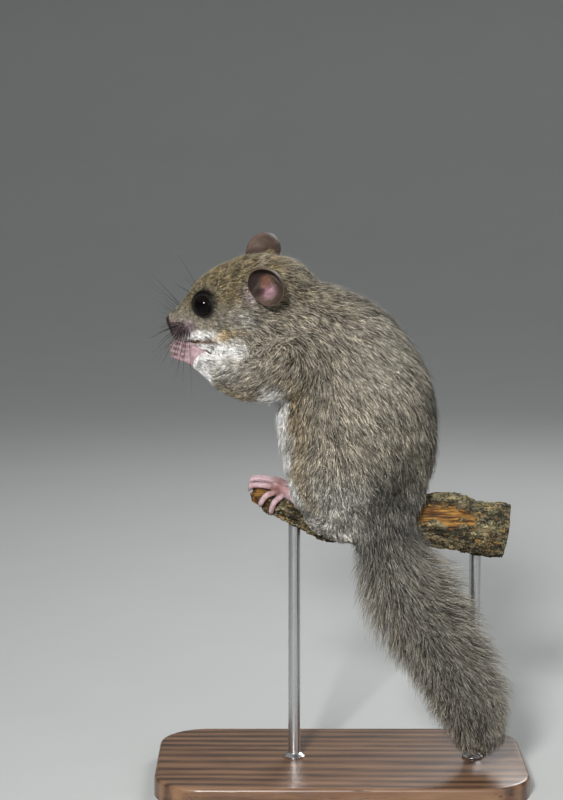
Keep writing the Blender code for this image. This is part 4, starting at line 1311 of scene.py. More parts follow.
def markings(points):
    """The colours of the coat over the whole animal, for the skin and for each tuft, with painted shade and
    painted light in places.
    """
    forward, left, up = in_head(points).T
    left = np.abs(left)
    x, y, z = points.T
    wander = ripple(points, 9.0, 31)
    fine = ripple(points, 3.5, 32)
    colours = np.tile(AGOUTI, (len(points), 1))
    head = step_between(forward, -26, -12) * step_between(up, -30, -20)
    colours = mixed(colours, CROWN, head * step_between(up, 2, 11) + 0.35 * step_between(z, 188, 200))
    low_body = step_between(-z, -138, -120) * (1 - head)
    colours = mixed(colours, ASH, 0.8 * low_body)
    # Painted shade on the back of the haunch, which turns away from the light.
    haunch_back_shade = spot(x - 17 - 0.25 * (z - 120), 10, z - 124, 22)
    colours = mixed(colours, SPINE * 0.55, 0.95 * haunch_back_shade * (1 - head))
    # Painted shade low on the rump, where the root of the tail lies under the haunch.
    rump_root_shade = step_between(-z, -116, -104) * step_between(x, 4, 12) * (1 - head)
    colours = mixed(colours, SPINE * 0.75, 0.9 * rump_root_shade)
    # Painted shade on the shoulder, below and behind the head.
    shoulder = spot(x + 20, 16, z - 176, 14) * (1 - head)
    colours = colours * (1 - 0.42 * shoulder)[:, None]
    # Paler ash fur on the saddle of the back and on the thigh, both brightened further as painted light.
    saddle = spot(x - 14, 16, z - 178, 24) * (1 - head)
    colours = mixed(colours, ASH, 0.35 * saddle) * (1 + 0.24 * saddle)[:, None]
    thigh = spot(x + 4, 13, z - 118, 16) * (1 - head)
    colours = mixed(colours, ASH, 0.6 * thigh) * (1 + 0.36 * thigh)[:, None]
    middle = -1.5 - 0.10 * np.clip(139 - z, 0, 40)
    back = step_between(x + 0.45 * (z - 150), 6, 22) * (1 - head)
    colours = mixed(colours, SPINE, 0.75 * back * streak(y - middle, 7))
    # Painted shade along the rear edge of the back, which turns away from the light.
    edge = step_between(x + 0.15 * (z - 145), 24, 36) * step_between(-z, -172, -160) * (1 - head)
    colours = mixed(colours, SPINE * 0.8, 0.7 * edge)
    belly_line = np.interp(z, (100, 118, 130, 150, 165, 180), (-8, -15, -20, -20, -22, -34))
    belly = step_between(belly_line + 5 * wander * 0.3 - x, -3.5, 2.0) * (1 - head)
    arm = step_between(-x, 26, 34) * step_between(-z, -180, -174)
    between = streak(y + 1, 7, 4)
    flank_edge = streak(belly_line + 3.5 - x, 3.5) * (1 - head) * (z > 116)
    colours = mixed(colours, BUFF, 0.5 * flank_edge)
    colours = mixed(colours, WHITE, belly * (1 - arm) * step_between(z, 112, 124))
    wrist = spot(x + 50, 11, z - 174.5, 6.5) * (1 + 0.35 * fine)
    inner_arm = arm * np.maximum(between * step_between(z, 164, 170), wrist)
    colours = mixed(colours, WHITE, 0.85 * inner_arm)
    under_arm = arm * (1 - between) * streak(z - 160, 2.5)
    colours = mixed(colours, BUFF, 0.4 * under_arm)
    cheek_line = -8.0 - 0.10 * (forward - 4) + 0.7 * wander
    throat = step_between(cheek_line - up, -2.5, 3.5) * step_between(forward + 1.5 * fine, -5, 9)
    throat *= 1 - step_between(left, 12.0, 16.5)
    stripe = streak(cheek_line + 1.5 - up, 2.0) * step_between(forward, -6, 2)
    colours = mixed(colours, BUFF, 0.6 * stripe * step_between(15 - forward, 0, 3))
    colours = mixed(colours, WHITE, throat)
    colours = mixed(colours, MAUVE, 0.8 * step_between(forward, 13, 18) * step_between(-up, -4, 1))
    lip = spot(forward - 14.5, 6.6, up + 5.6 + 0.05 * (forward - 11), 2.7, 2)
    colours = mixed(colours, WHITE, 0.92 * lip)
    chin = step_between(forward, 11, 14) * step_between(-up, 8.6, 9.6)
    colours = mixed(colours, WHITE, 0.75 * chin)
    tan = spot(forward - 5.5, 4.0, up + 5.6 + 0.35 * (forward - 5), 2.2, 2)
    colours = mixed(colours, BUFF, 0.75 * tan)
    pad = spot(forward - 22.6, 2.9, up + 1.6, 3.4, 2)
    colours = mixed(colours, WHISKER_PAD, 0.8 * pad)
    # The brown line of the lip, widened over the recess below the cheek as painted shade.
    band = streak(up + 9.1 + 0.1 * (16 - forward), 1.1, 4) * (left < 12)
    band *= step_between(forward, 8, 11) * (1 - step_between(forward, 21.5, 23.5))
    colours = mixed(colours, LIP_BROWN, 0.85 * band)
    # Painted shade: a near-black spot in the recess below the mouth, under the cheek.
    corner = spot(forward - 12.8, 1.9, up + 13.0, 1.1)
    corner *= (left > 1) * (left < 8)
    colours = mixed(colours, EYE_RING, 0.85 * corner)
    nose_top = step_between(forward, 12, 20) * streak(left, 3.2) * (up > 0)
    colours = mixed(colours, SMOKE, 0.6 * nose_top)
    for side in (1, -1):
        along, radial, reach = eye_parts(points, side)
        beyond = np.clip(reach - EYE_RADIUS - 0.3, 0, 9)
        colours = mixed(colours, SMOKE, 0.45 * streak(beyond, 2.6))
        colours = mixed(colours, EYE_RING, streak(beyond, 0.85, 4))
    behind = spot(forward + 8, 6, up + 1.2 + 0.42 * (forward + 8), 2.8) * (left > 8)
    behind *= np.clip(0.4 + 1.1 * ripple(points, 2.4, 34), 0, 1)
    colours = mixed(colours, EYE_RING, 0.8 * behind)
    bald = spot(forward + 7.9, 2.2, up - 6.8, 2.8) * (left > 8)
    colours = mixed(colours, BALD, 0.9 * bald)
    jaw = spot(forward + 2, 6, up + 1.5, 4.5) * (left > 6)
    colours = mixed(colours, ASH, 0.65 * jaw)
    near = np.flatnonzero((forward > 8) & (up > -14) & (up < -3))
    gap, taper, _ = near_mouth(points[near])
    lips = np.zeros(len(points))
    lips[near] = streak(gap, 1.0, 4) * taper
    colours = mixed(colours, LIP_BROWN, 0.92 * lips)
    speckled = 0.24 * head * ripple(points, 1.7, 33)
    return colours * (1 + 0.11 * wander + 0.09 * fine + speckled)[:, None]


def ear_colours(points, normals):
    """The back thin and brown with a painted highlight along its edge, the hollow mauve, with orange-brown
    folds, and painted shade in its creases, its canal and its rear half.
    """
    colours = np.tile(EAR_SHEET, (len(points), 1))
    sheet = np.tile(EAR_SHEET, (len(points), 1))
    for side in (1, -1):
        wide, high, deep = ear_local(points, side)
        here = (wide**2 + high**2 + deep**2) < 150
        radius = np.hypot(wide / EAR_HALF[0], high / EAR_HALF[1])
        inner = (normals @ ear_axes(side)[2] > -0.25) & here & (radius < 0.97)
        hollow = spot(wide - 0.6, 3.0, high + 2.6, 2.9, 2)
        inside = mixed(sheet, EAR_INSIDE, hollow)
        fold = spot(wide - 2.4, 2.3, high - 1.0, 3.4, 2)
        inside = mixed(inside, EAR_FOLD, 0.85 * fold)
        # Painted shade in the crease in front of the long fold.
        crease = spot(wide - 4.6 + 0.3 * high, 0.8, high - 0.5, 3.4)
        inside = mixed(inside, EAR_PIT_SHADE, 0.7 * crease)
        brow = step_between(radius, 0.45, 0.72) * step_between(wide + 0.9 * high, -2.0, 2.5)
        inside = mixed(inside, EAR_RIM, brow * 0.95)
        # Painted shade in the opening of the canal.
        pit = spot(wide - EAR_CANAL[0], 1.2, high - EAR_CANAL[1], 1.5)
        inside = mixed(inside, EAR_PIT_SHADE, 0.95 * pit)
        # Painted shade over the rear half of the hollow, which faces the light.
        inside = inside * (1 - 0.42 * step_between(-wide, 0.5, 4.5))[:, None]
        # Painted highlight along the edge of the ear's back.
        outside = mixed(sheet * 0.85, EAR_SHEET * 1.7, 0.6 * step_between(radius, 0.95, 1.0))
        chosen = np.where(inner[:, None], inside, outside)
        colours = np.where(here[:, None], chosen, colours)
    veins = np.clip(ripple(points, 2.6, 43), 0, 1) ** 2
    return colours * (0.85 + 0.12 * ripple(points, 1.6, 41) - 0.16 * veins)[:, None]


def folded(points, normals, reach=1.8):
    """How far each point is shut in by the skin around it, from 0 to 1."""
    around = surface_through(skin_points, hide)
    turns = [(math.cos(k * math.pi / 3), math.sin(k * math.pi / 3)) for k in range(6)]
    shut = np.zeros(len(points))
    for number, (point, normal) in enumerate(zip(points, normals)):
        point, normal = Vector(point), Vector(normal)
        wide = normal.orthogonal().normalized()
        deep = normal.cross(wide)
        for across, over in turns:
            way = normal * 0.5 + wide * across + deep * over
            shut[number] += around.ray_cast(point + normal * 0.04, way, reach)[0] is not None
    return shut / len(turns)


def hand_colours(points, normals):
    """Pink with browner blotches and a brown instep, the feet paler, with painted shade on the sides that
    face down and in the folds.
    """
    blotch = ripple(points, 2.4, 42)
    colours = mixed(np.tile(PINK, (len(points), 1)), PALM_BROWN_AND_SHADE, 0.30 + 0.28 * blotch)
    # Painted shade on the sides that face down.
    colours = mixed(colours, PALM_BROWN_AND_SHADE, 0.35 * np.clip(-normals[:, 2], 0, 1))
    on_foot = points[:, 2] < 140
    colours *= (1 + 0.28 * on_foot)[:, None]
    instep = spot(points[:, 0] + 25.5, 3.6, points[:, 2] - 121, 3.0)
    colours = mixed(colours, INSTEP, 0.8 * instep)
    # Painted shade in the folds, where the skin around shuts each point in.
    return mixed(colours, PAINTED_CREASE_SHADE, 1.4 * folded(points, normals) - 0.10)


def part_shares(mesh):
    """For each vertex, whether it belongs to the furred hide (0), an ear (1) or a paw (2)."""
    loops = values_of(mesh.loops, "vertex_index", kind=np.int32)
    sizes = values_of(mesh.polygons, "loop_total", kind=np.int32)
    numbers = values_of(mesh.polygons, "material_index", kind=np.int32)
    part = np.zeros(len(mesh.vertices), np.int32)
    part[loops] = np.repeat(numbers, sizes)
    return part


skin_points = coordinates(hide)
skin_normals = normals_of(hide)
part = part_shares(hide)
for side in (1, -1):
    wide, high, deep = ear_local(skin_points, side)
    in_cup = (np.hypot(wide, high) < 6.4) & (deep > -EAR_DEPTH - 1) & (deep < 3)
    in_cup &= skin_normals @ ear_axes(side)[2] > 0.2
    part = np.where(in_cup, 1, part)
head_places = in_head(skin_points)
on_nose = step_between(head_places[:, 0], 24.9, 25.6) * step_between(head_places[:, 2], -3.6, -2.6)
lid = np.zeros(len(skin_points))
for side in (1, -1):
    along, radial, reach = eye_parts(skin_points, side)
    on_lid = (1 - step_between(radial, LID_EDGE + 0.25, LID_EDGE + 0.75)) * (along > 0)
    lid = np.maximum(lid, on_lid * (reach < 6.4))
furred = markings(skin_points)
tint = np.where((part == 0)[:, None], furred * 0.62, 0.0)
tint = np.where((part == 1)[:, None], ear_colours(skin_points, skin_normals), tint)
paws = np.flatnonzero(part == 2)
tint[paws] = hand_colours(skin_points[paws], skin_normals[paws])
tint = mixed(tint, NOSE_SKIN, on_nose * (part == 0))
tint = mixed(tint, LID_SKIN, lid * (part == 0))
# Painted shade in the groove of the mouth.
mouth_groove_shade = np.zeros(len(skin_points))
near = np.flatnonzero((head_places[:, 0] > 8) & (part == 0))
gap, taper, _ = near_mouth(skin_points[near])
mouth_groove_shade[near] = streak(gap, 0.45) * taper
tint = mixed(tint, MOUTH_SLIT_SHADE, 0.9 * mouth_groove_shade)
bare = np.maximum(np.maximum((part > 0) * 1.0, on_nose), lid)
store(hide, "tint", np.clip(tint, 0, 1))
store(hide, "bare", bare)
hide.materials.clear()
hide.polygons.foreach_set("material_index", [0] * len(hide.polygons))

pelt = Finish(
    "pelt_and_skin",
    Subsurface_Weight=0.05,
    Subsurface_Radius=(0.0012, 0.0005, 0.0003),
    Specular_IOR_Level=0.22,
)
place = pelt.place()
own = pelt.stored("tint", 0)
is_bare = pelt.stored("bare")
strand = pelt.noise(pelt.stretched(place, (1.6, 1.6, 0.5)), 0.9, 3.0, 0.7)
speckle = pelt.noise(place, 0.35, 2.0, 0.7)
hairs = pelt.blend((0.45, 0.44, 0.42), (1.35, 1.33, 1.28), pelt.between(strand, 0.3, 0.7))
pores = pelt.blend((0.80, 0.78, 0.76), (1.12, 1.10, 1.10), pelt.between(speckle, 0.35, 0.65))
creases = pelt.node(
    "ShaderNodeTexVoronoi", {"feature": "DISTANCE_TO_EDGE"}, {"Vector": place, "Scale": 1.6}, 0
)
height = strand * (1 - is_bare) + pelt.between(creases, 0.0, 0.12) * is_bare + speckle * 0.2
skin_material = pelt.feed(
    Base_Color=pelt.tinted(own, pelt.blend(hairs, pores, is_bare)),
    Roughness=0.85 - is_bare * 0.33,
    Normal=pelt.bump(height, 0.10),
)
skin = add_object("skin", hide, skin_material)
hide.shade_smooth()
bpy.context.view_layer.objects.active = skin
skin.select_set(True)
bpy.ops.object.mode_set(mode="EDIT")
bpy.ops.mesh.select_all(action="SELECT")
bpy.ops.uv.smart_project(angle_limit=math.radians(66), island_margin=0.002)
bpy.ops.object.mode_set(mode="OBJECT")
mount(skin, "fur", *BODY_NODES, *BARE_NODES, "tail")


# Eyes: two glossy glass beads, almost black, set in the sockets between the lids. The brown of
# the iris shows only as a faint ring in strong light.
EYE_BLACK = (0.0015, 0.0012, 0.0012)
IRIS = (0.004, 0.0025, 0.0018)

bead = Finish("eye_glass", Roughness=0.03, Specular_IOR_Level=0.10)
round_iris = bead.stored("iris")
threads = bead.noise(bead.place(), 0.5, 3.0)
iris_shade = bead.blend(EYE_BLACK, IRIS, round_iris * threads)
eye_material = bead.feed(Base_Color=iris_shade)
for side, word in ((1, "left"), (-1, "right")):
    eye_mesh = ball(on_head(EYE_PLACE, side), EYE_RADIUS, 72)
    along, radial, _ = eye_parts(coordinates(eye_mesh), side)
    store(eye_mesh, "iris", step_between(radial, 2.2, 2.8) * (along > 0) * 0.9)
    eye_mesh.shade_smooth()
    mount(add_object(f"eyeball_{word}", eye_mesh, eye_material), "eye", f"eye_{word}")


# Claws: short curved horn points on the fingers and toes, pale brown mottled with darker horn.
# Those of one side, hand and foot, are one piece, seated in the tips of the digits.
CLAW = ((0.0, 0.0, 0.42), (0.9, 0.12, 0.34), (1.7, -0.15, 0.22), (2.4, -0.65, 0.09))
CLAW_HORN = ((0.11, 0.065, 0.045), (0.42, 0.31, 0.24))

horn = Finish("claw_horn", Roughness=0.35)
horn_shade = horn.blend(*CLAW_HORN, horn.noise(horn.place(), 0.9, 3.0))
horn_material = horn.feed(Base_Color=horn_shade)


def claw_mesh(tip, ahead, over):
    """A claw from a finger's tip, pointing ahead and bent away from the side it lies on."""
    ahead, over = Vector(ahead).normalized(), Vector(over).normalized()
    rows = [(*(Vector(tip) + ahead * (far - 0.5) + over * rise), thick) for far, rise, thick in CLAW]
    return tube("claw", rows, sides=10, steps=2, lateral=ahead.cross(over))


for side, word in ((1, "left"), (-1, "right")):
    claws = []
    for number in range(4):
        last, before = (Vector(finger_of(side, number)[row][:3]) for row in (-1, -3))
        claws.append(claw_mesh(last, last - before, (-0.4, -0.5 * side, 0.6)))
    for toe in TOES:
        last, before = (Vector(off_branch(x, side * turn, high)) for x, turn, high, _ in toe[:-3:-1])
        thickness = float(np.interp(last.x, *np.array(BRANCH).T[[0, 3]]))
        axis_z = off_branch(last.x, 0, 0)[2] - thickness
        outwards = last - Vector((last.x + 0.5, 0, axis_z))
        claws.append(claw_mesh(last, last - before, outwards))
    mount(add_object(f"claws_{word}", joined(f"claws_{word}", claws), horn_material), "paw_skin")


# Coat: short dense fur of grey-brown hairs with slate roots and pale or black tips, lying back
# along the body. Each tuft is a thin closed blade of three sides rooted in the skin, and tufts
# near one another lean together into small locks.
TUFTS = 120000
TUFT_WIDTH = (0.046, 0.0115)  # half width at no length, and what a millimetre of length adds
TUFT_THICKNESS = 0.45  # share of the half width
CLUMP_AREA = 2.6
CLUMP_PULL = 0.26
CLUMP_REACH = 4  # a tuft leans only to a lock whose root is nearer than this
WAVER = 0.22
GUARD_SHARE = 0.09  # tufts that are longer and finer and stand a little off the rest
ROOT_DEPTH = 0.12
PATCH = 0.003
PALE_TIP = shade(232, 228, 218)
DENSITY = ((0, 20.0), (2, 13.0), (4.5, 5.8), (9, 3.5))  # length of the hair, tufts a mm2
draw = np.random.default_rng(7)


def triangles_of(mesh):
    """Corner numbers, vertices and unwrap places of a mesh's triangles."""
    mesh.calc_loop_triangles()
    corners = values_of(mesh.loop_triangles, "vertices", 3, np.int32)
    loops = values_of(mesh.loop_triangles, "loops", 3, np.int32)
    return corners, values_of(mesh.uv_layers.active.uv, "vector", 2)[loops]


def towards(vectors):
    """The vectors at a length of one."""
    return vectors / np.maximum(np.linalg.norm(vectors, axis=1), 1e-9)[:, None]


def scattered(weights, count):
    """Random picks in proportion to the weights, with three shares that place each in a triangle."""
    chosen = np.searchsorted(np.cumsum(weights / weights.sum()), draw.random(count))
    chosen = np.minimum(chosen, len(weights) - 1)
    first, second = draw.random(count), draw.random(count)
    fold = first + second > 1
    first, second = np.where(fold, 1 - first, first), np.where(fold, 1 - second, second)
    return chosen, np.stack([1 - first - second, first, second], axis=1)


def settled(tree, points, lift):
    """The points moved to a given height over the nearest skin, and the skin's normals there."""
    spots, ways = [], []
    for point in points:
        spot, way, _, _ = tree.find_nearest(Vector(point))
        spots.append(spot)
        ways.append(way)
    spots, ways = np.array(spots), np.array(ways)
    return spots + ways * lift[:, None], ways


def nearest_of(places, points):
    """For each point, the number of the nearest of some places."""
    tree = KDTree(len(places))
    for number, place in enumerate(places):
        tree.insert(place, number)
    tree.balance()
    return np.array([tree.find(point)[1] for point in points])


def along_surface(way, normals):
    """The part of each way that runs along the skin, at a length of one."""
    return towards(way - normals * (way * normals).sum(axis=1)[:, None])


def coat_mesh(name, path, normals, half_width, colours, unwrapped, widths):
    """Blades through the points of each path: three-sided rings and a tip, one row a tuft."""
    count, stops = path.shape[:2]
    ahead = towards(path[:, -1] - path[:, 0])
    wide = towards(np.cross(ahead, normals))
    deep = towards(np.cross(wide, ahead))
    per = 3 * (stops - 1) + 1
    points = np.empty((count, per, 3))
    shades = np.empty((count, per, 3))
    spots = np.empty((count, per, 2))
    for ring in range(stops - 1):
        half = (half_width * widths[ring])[:, None]
        for k, (out, over) in enumerate(((1, 0), (0, TUFT_THICKNESS), (-1, 0))):
            points[:, 3 * ring + k] = path[:, ring] + wide * half * out + deep * half * over
            shades[:, 3 * ring + k] = colours[:, ring]
            shift = (PATCH * 0.45 * out, PATCH * (ring / (stops - 1) - 0.5))
            spots[:, 3 * ring + k] = unwrapped + shift
    points[:, -1] = path[:, -1]
    shades[:, -1] = colours[:, -1]
    spots[:, -1] = unwrapped + (0, PATCH * 0.5)
    faces = [(0, 1, 2)]
    for ring in range(stops - 2):
        for k in range(3):
            low, low_next = 3 * ring + k, 3 * ring + (k + 1) % 3
            faces += [(low, low + 3, low_next + 3), (low, low_next + 3, low_next)]
    last = 3 * (stops - 2)
    faces += [(last + k, per - 1, last + (k + 1) % 3) for k in range(3)]
    faces = np.array(faces)
    corners = (faces[None] + (np.arange(count) * per)[:, None, None]).reshape(-1)
    mesh = bpy.data.meshes.new(name)
    mesh.vertices.add(count * per)
    mesh.vertices.foreach_set("co", (points * MM).astype(np.float32).ravel())
    mesh.loops.add(len(corners))
    mesh.loops.foreach_set("vertex_index", corners.astype(np.int32))
    mesh.polygons.add(len(corners) // 3)
    mesh.polygons.foreach_set("loop_start", np.arange(0, len(corners), 3, dtype=np.int32))
    layer = mesh.uv_layers.new(name="OFBake")
    flat_spots = np.clip(spots.reshape(-1, 2), 0.001, 0.999)
    layer.uv.foreach_set("vector", flat_spots[corners].astype(np.float32).ravel())
    mesh.update(calc_edges=True)
    mesh.shade_smooth()
    store(mesh, "tint", np.clip(shades.reshape(-1, 3), 0, 1))
    return mesh


def banded(colours, contrast, dark_share=0.24, pale_share=0.30):
    """Root, middle and tip colours of each tuft: slate below, banded above, a few tips black."""
    count = len(colours)
    kind = draw.random(count)
    contrast = contrast[:, None]
    whiteness = np.clip((colours.min(axis=1) - 0.45) / 0.3, 0, 1)[:, None]
    contrast = contrast * (1 - 0.72 * whiteness)
    vary = 1 + np.clip(draw.normal(0, 0.30, count), -0.6, 0.8)[:, None] * contrast
    body = colours * vary
    dark = (kind < dark_share)[:, None]
    pale = (kind > 1 - pale_share)[:, None]
    frosting = 0.50 * np.clip(colours.mean(axis=1) / 0.11, 0, 1)[:, None]
    frost = body * 1.2 + (PALE_TIP - body * 1.2) * frosting
    tip = np.where(dark, body * (1 - 0.86 * contrast), body)
    tip = np.where(pale, body + (frost * 1.3 - body) * contrast, tip)
    middle = np.where(dark, body * (1 - 0.7 * contrast), body * (1 - 0.15 * contrast))
    root = colours * (1 - 0.85 * contrast) + 0.005
    return root, middle, tip


corners, unwrapped = triangles_of(hide)
on_fur = part[corners].max(axis=1) == 0
corners, unwrapped = corners[on_fur], unwrapped[on_fur]
skin_points = coordinates(hide)
a, b, c = (skin_points[corners[:, k]] for k in range(3))
area = np.linalg.norm(np.cross(b - a, c - a), axis=1) / 2
centres = (a + b + c) / 3
_, lengths, _ = lie_at(centres)
weight = area * np.interp(lengths, *zip(*DENSITY))
bald = np.maximum(on_nose, lid)[corners].max(axis=1)
weight *= (bald < 0.5) & (centres[:, 2] > 84 + 12 * (centres[:, 0] < 5))
chosen, shares = scattered(weight, TUFTS)
roots = (skin_points[corners[chosen]] * shares[..., None]).sum(axis=1)
root_unwrapped = (unwrapped[chosen] * shares[..., None]).sum(axis=1)
skin_tree = BVHTree.FromPolygons([Vector(p) for p in skin_points], corners.tolist())
face_normals = towards(np.cross(b - a, c - a))[chosen]
way, length, depth = lie_at(roots)
near_bare = distance_to(bare_tree, roots)
short = 0.5 + 0.5 * step_between(near_bare, 0, 4.0)
short *= 1 - 0.5 * step_between(-roots[:, 2], -106, -101) * step_between(-roots[:, 0], -8, -3)
length = length * short * draw.uniform(0.72, 1.18, TUFTS)
depth = depth * short * draw.uniform(0.78, 1.12, TUFTS)
guard = draw.random(TUFTS) < GUARD_SHARE
length = np.where(guard, length * 1.2, length)
depth = np.where(guard, depth * 1.6, depth)
wild = towards(way + WAVER * draw.normal(size=(TUFTS, 3)) + 0.10 * np.stack(
    [ripple(roots, 7.0, seed) for seed in (51, 52, 53)], axis=1))
first_way = along_surface(wild, face_normals)
sunk = roots - face_normals * ROOT_DEPTH
middle, middle_normals = settled(skin_tree, roots + first_way * length[:, None] * 0.5, depth * 0.68)
second_way = along_surface(wild, middle_normals)
tip, _ = settled(skin_tree, middle + second_way * length[:, None] * 0.5, depth)
clumps = draw.choice(TUFTS, int(area[weight > 0].sum() / CLUMP_AREA), replace=False)
own_clump = clumps[nearest_of(roots[clumps], roots)]
pull = (CLUMP_PULL * draw.uniform(0.3, 1.2, TUFTS) * step_between(length, 1.5, 5))[:, None]
towards_clump = tip[own_clump] - tip
close = np.linalg.norm(roots[own_clump] - roots, axis=1)[:, None] < CLUMP_REACH
tip += towards_clump * pull * close
middle += towards_clump * pull * close * 0.35
path = np.stack([sunk, middle, tip], axis=1)

# Tufts that a fold of the skin has stretched, or that would cover the lids or the nose, go.
spread = np.linalg.norm(path[:, 2] - path[:, 0], axis=1)
clear = spread < 1.4 * length + 1.5 * depth + 1
for side in (1, -1):
    for stop in range(3):
        along, radial, reach = eye_parts(path[:, stop], side)
        clear &= ~((radial < LID_EDGE + 0.35) & (along > 0) & (reach < 8))
for stop in (1, 2):
    local = in_head(path[:, stop])
    clear &= ~((local[:, 0] > 25.6) & (local[:, 2] > -2.0) & (np.abs(local[:, 1]) < 3))
crispness = 0.80 + 0.20 * step_between(length, 1.2, 4.5)
lock_tone = 1 + np.clip(draw.normal(0, 0.30, TUFTS), -0.5, 0.7)[own_clump]
tones = np.stack(banded(markings(roots) * lock_tone[:, None], crispness), axis=1)
half_width = (TUFT_WIDTH[0] + TUFT_WIDTH[1] * length) * draw.uniform(0.7, 1.25, TUFTS)
half_width = np.where(guard, half_width * 0.6, half_width)

fur = Finish("fur", Roughness=0.55, Specular_IOR_Level=0.22)
own = fur.stored("tint", 0)
wisps = fur.between(fur.noise(fur.place(), 0.6, 3.0, 0.7), 0.33, 0.67)
fur_material = fur.feed(
    Base_Color=fur.tinted(own, fur.blend((0.66, 0.66, 0.67), (1.34, 1.33, 1.30), wisps)),
)
local = in_head(roots)
left_side = roots[:, 1] < -1.5
regions = {
    "coat_face_left": (local[:, 0] > 6) & (roots[:, 2] > 166) & (local[:, 1] > 0),
    "coat_face_right": (local[:, 0] > 6) & (roots[:, 2] > 166),
    "coat_head": (local[:, 0] > -12) & (local[:, 2] > -24) & (roots[:, 0] < -20),
    "coat_arms": (roots[:, 0] < -20) & (roots[:, 2] > 148),
    "coat_shoulder_left": (roots[:, 2] > 160) & left_side,
    "coat_shoulder_right": roots[:, 2] > 160,
    "coat_flank_left": (roots[:, 2] > 132) & left_side,
    "coat_flank_right": (roots[:, 2] > 132) & ~left_side,
    "coat_haunch_left": left_side,
    "coat_haunch_right": ~left_side,
}
waiting = clear.copy()
for region, inside in regions.items():
    members = np.flatnonzero(waiting & inside)
    waiting[members] = False
    coat = coat_mesh(
        region, path[members], face_normals[members], half_width[members], tones[members],
        root_unwrapped[members], (0.75, 1.0),
    )
    mount(add_object(region, coat, fur_material), "fur")


# Tail: long loose hair over a thin bony core. The hair leaves both edges widest, so that the
# tail is flat, broad and soft-edged like a brush, with a darker line down its middle.
TAIL_TUFTS = 18400
TAIL_TIP = 11.5  # how far the hair reaches past the last section
TAIL_ADVANCE = (6.0, 17.0)
TAIL_LOCKS = 2600
TAIL_STRAYS = 0.14  # share of the hairs that stand out past the rest
TAIL_STOPS = ((0.0, 0.0), (0.34, 0.44), (0.68, 0.79), (1.0, 1.0))  # along, and out of the way out
TAIL_FLARE_BACK = ((0, 0.25), (12, 0.40), (27, 0.35), (52, 0.25), (80, 0.18), (100, 0.12))
TAIL_FLARE_FRONT = ((0, 0.25), (12, 0.30), (27, 0.10), (52, 0.0), (100, 0.0))
TAIL_HAIR = shade(152, 145, 132)
TAIL_MIDDLE = shade(98, 93, 84)
TAIL_ROOT_SHADE = shade(72, 71, 67)

tail_rows = curve_through([(14.5, -12.0, 112, 9, 14)] + list(TAIL), 8)
tail_along, tail_across, tail_upward = frames_along(tail_rows, (0, 1, 0))
steps = np.linalg.norm(np.diff(tail_rows[:, :3], axis=0), axis=1)
tail_distance = np.concatenate([[0], np.cumsum(steps)])
tail_length = tail_distance[-1]


def on_tail(distance, turn, out):
    """Places in the tail's coat: out is 0 at the core and 1 at the tips of the hair."""
    inside = np.minimum(distance, tail_length)
    past = distance - inside
    columns = [np.interp(inside, tail_distance, tail_rows[:, k]) for k in range(5)]
    ways = [
        np.stack([np.interp(inside, tail_distance, way[:, k]) for k in range(3)], axis=1)
        for way in (tail_along, tail_across, tail_upward)
    ]
    shrink = np.sqrt(np.clip(1 - (past / TAIL_TIP) ** 2, 0.01, 1))
    core = TAIL_CORE * 0.75
    half = (columns[3] * (core + (1 - core) * out) * shrink * np.cos(turn))[:, None]
    wide = (columns[4] * (core + (1 - core) * out) * shrink * np.sin(turn))[:, None]
    middle = np.stack(columns[:3], axis=1) + ways[0] * past[:, None]
    return middle + ways[1] * half + ways[2] * wide


start = draw.random(TAIL_TUFTS) ** 0.95 * (tail_length - 2)
turn = draw.uniform(0, 2 * np.pi, TAIL_TUFTS)
turn -= 0.22 * np.sin(2 * turn)
layer = 1.03 - 0.48 * draw.random(TAIL_TUFTS) ** 1.35
stray = draw.random(TAIL_TUFTS) < TAIL_STRAYS
layer = np.where(stray, layer * draw.uniform(1.03, 1.15, TAIL_TUFTS), layer)
advance = draw.uniform(*TAIL_ADVANCE, TAIL_TUFTS)
advance = np.minimum(advance, tail_length + TAIL_TIP * 0.93 - start)
flat_place = np.stack([start, turn * 9], 1)  # the tail's surface laid out
root_shrink = 0.30 + 0.70 * step_between(start, 6, 26)
sway = draw.normal(0, 0.10, TAIL_TUFTS) + 0.16 * ripple(flat_place, 9.0, 61)
fan = np.clip(np.sin(turn), 0, 1) * np.interp(start, *zip(*TAIL_FLARE_BACK))
fan += np.clip(-np.sin(turn), 0, 1) * np.interp(start, *zip(*TAIL_FLARE_FRONT))
fan += 0.05 * ripple(flat_place, 8.0, 63)
path = []
for share, out in TAIL_STOPS:
    reach = out * layer * (1 - 0.4 * (1 - root_shrink)) * (1 + fan)
    path.append(on_tail(start + advance * share, turn + sway * share, reach))
path = np.stack(path, axis=1)
lock = draw.choice(TAIL_TUFTS, TAIL_LOCKS, replace=False)
lock_place = on_tail(start, turn, layer * 0.7)
own_lock = lock[nearest_of(lock_place[lock], lock_place)]
gather = (draw.uniform(0.0, 0.6, TAIL_TUFTS) * (layer > 0.7))[:, None]
for stop, amount in ((1, 0.10), (2, 0.45), (3, 0.85)):
    path[:, stop] += (path[own_lock, stop] - path[:, stop]) * gather * amount
outwards = towards(path[:, 1] - on_tail(start + advance * 0.36, turn, np.zeros(TAIL_TUFTS)))
flat = np.abs(np.cos(turn)) ** 3
body = mixed(np.tile(TAIL_HAIR, (TAIL_TUFTS, 1)), TAIL_MIDDLE, 0.8 * flat)
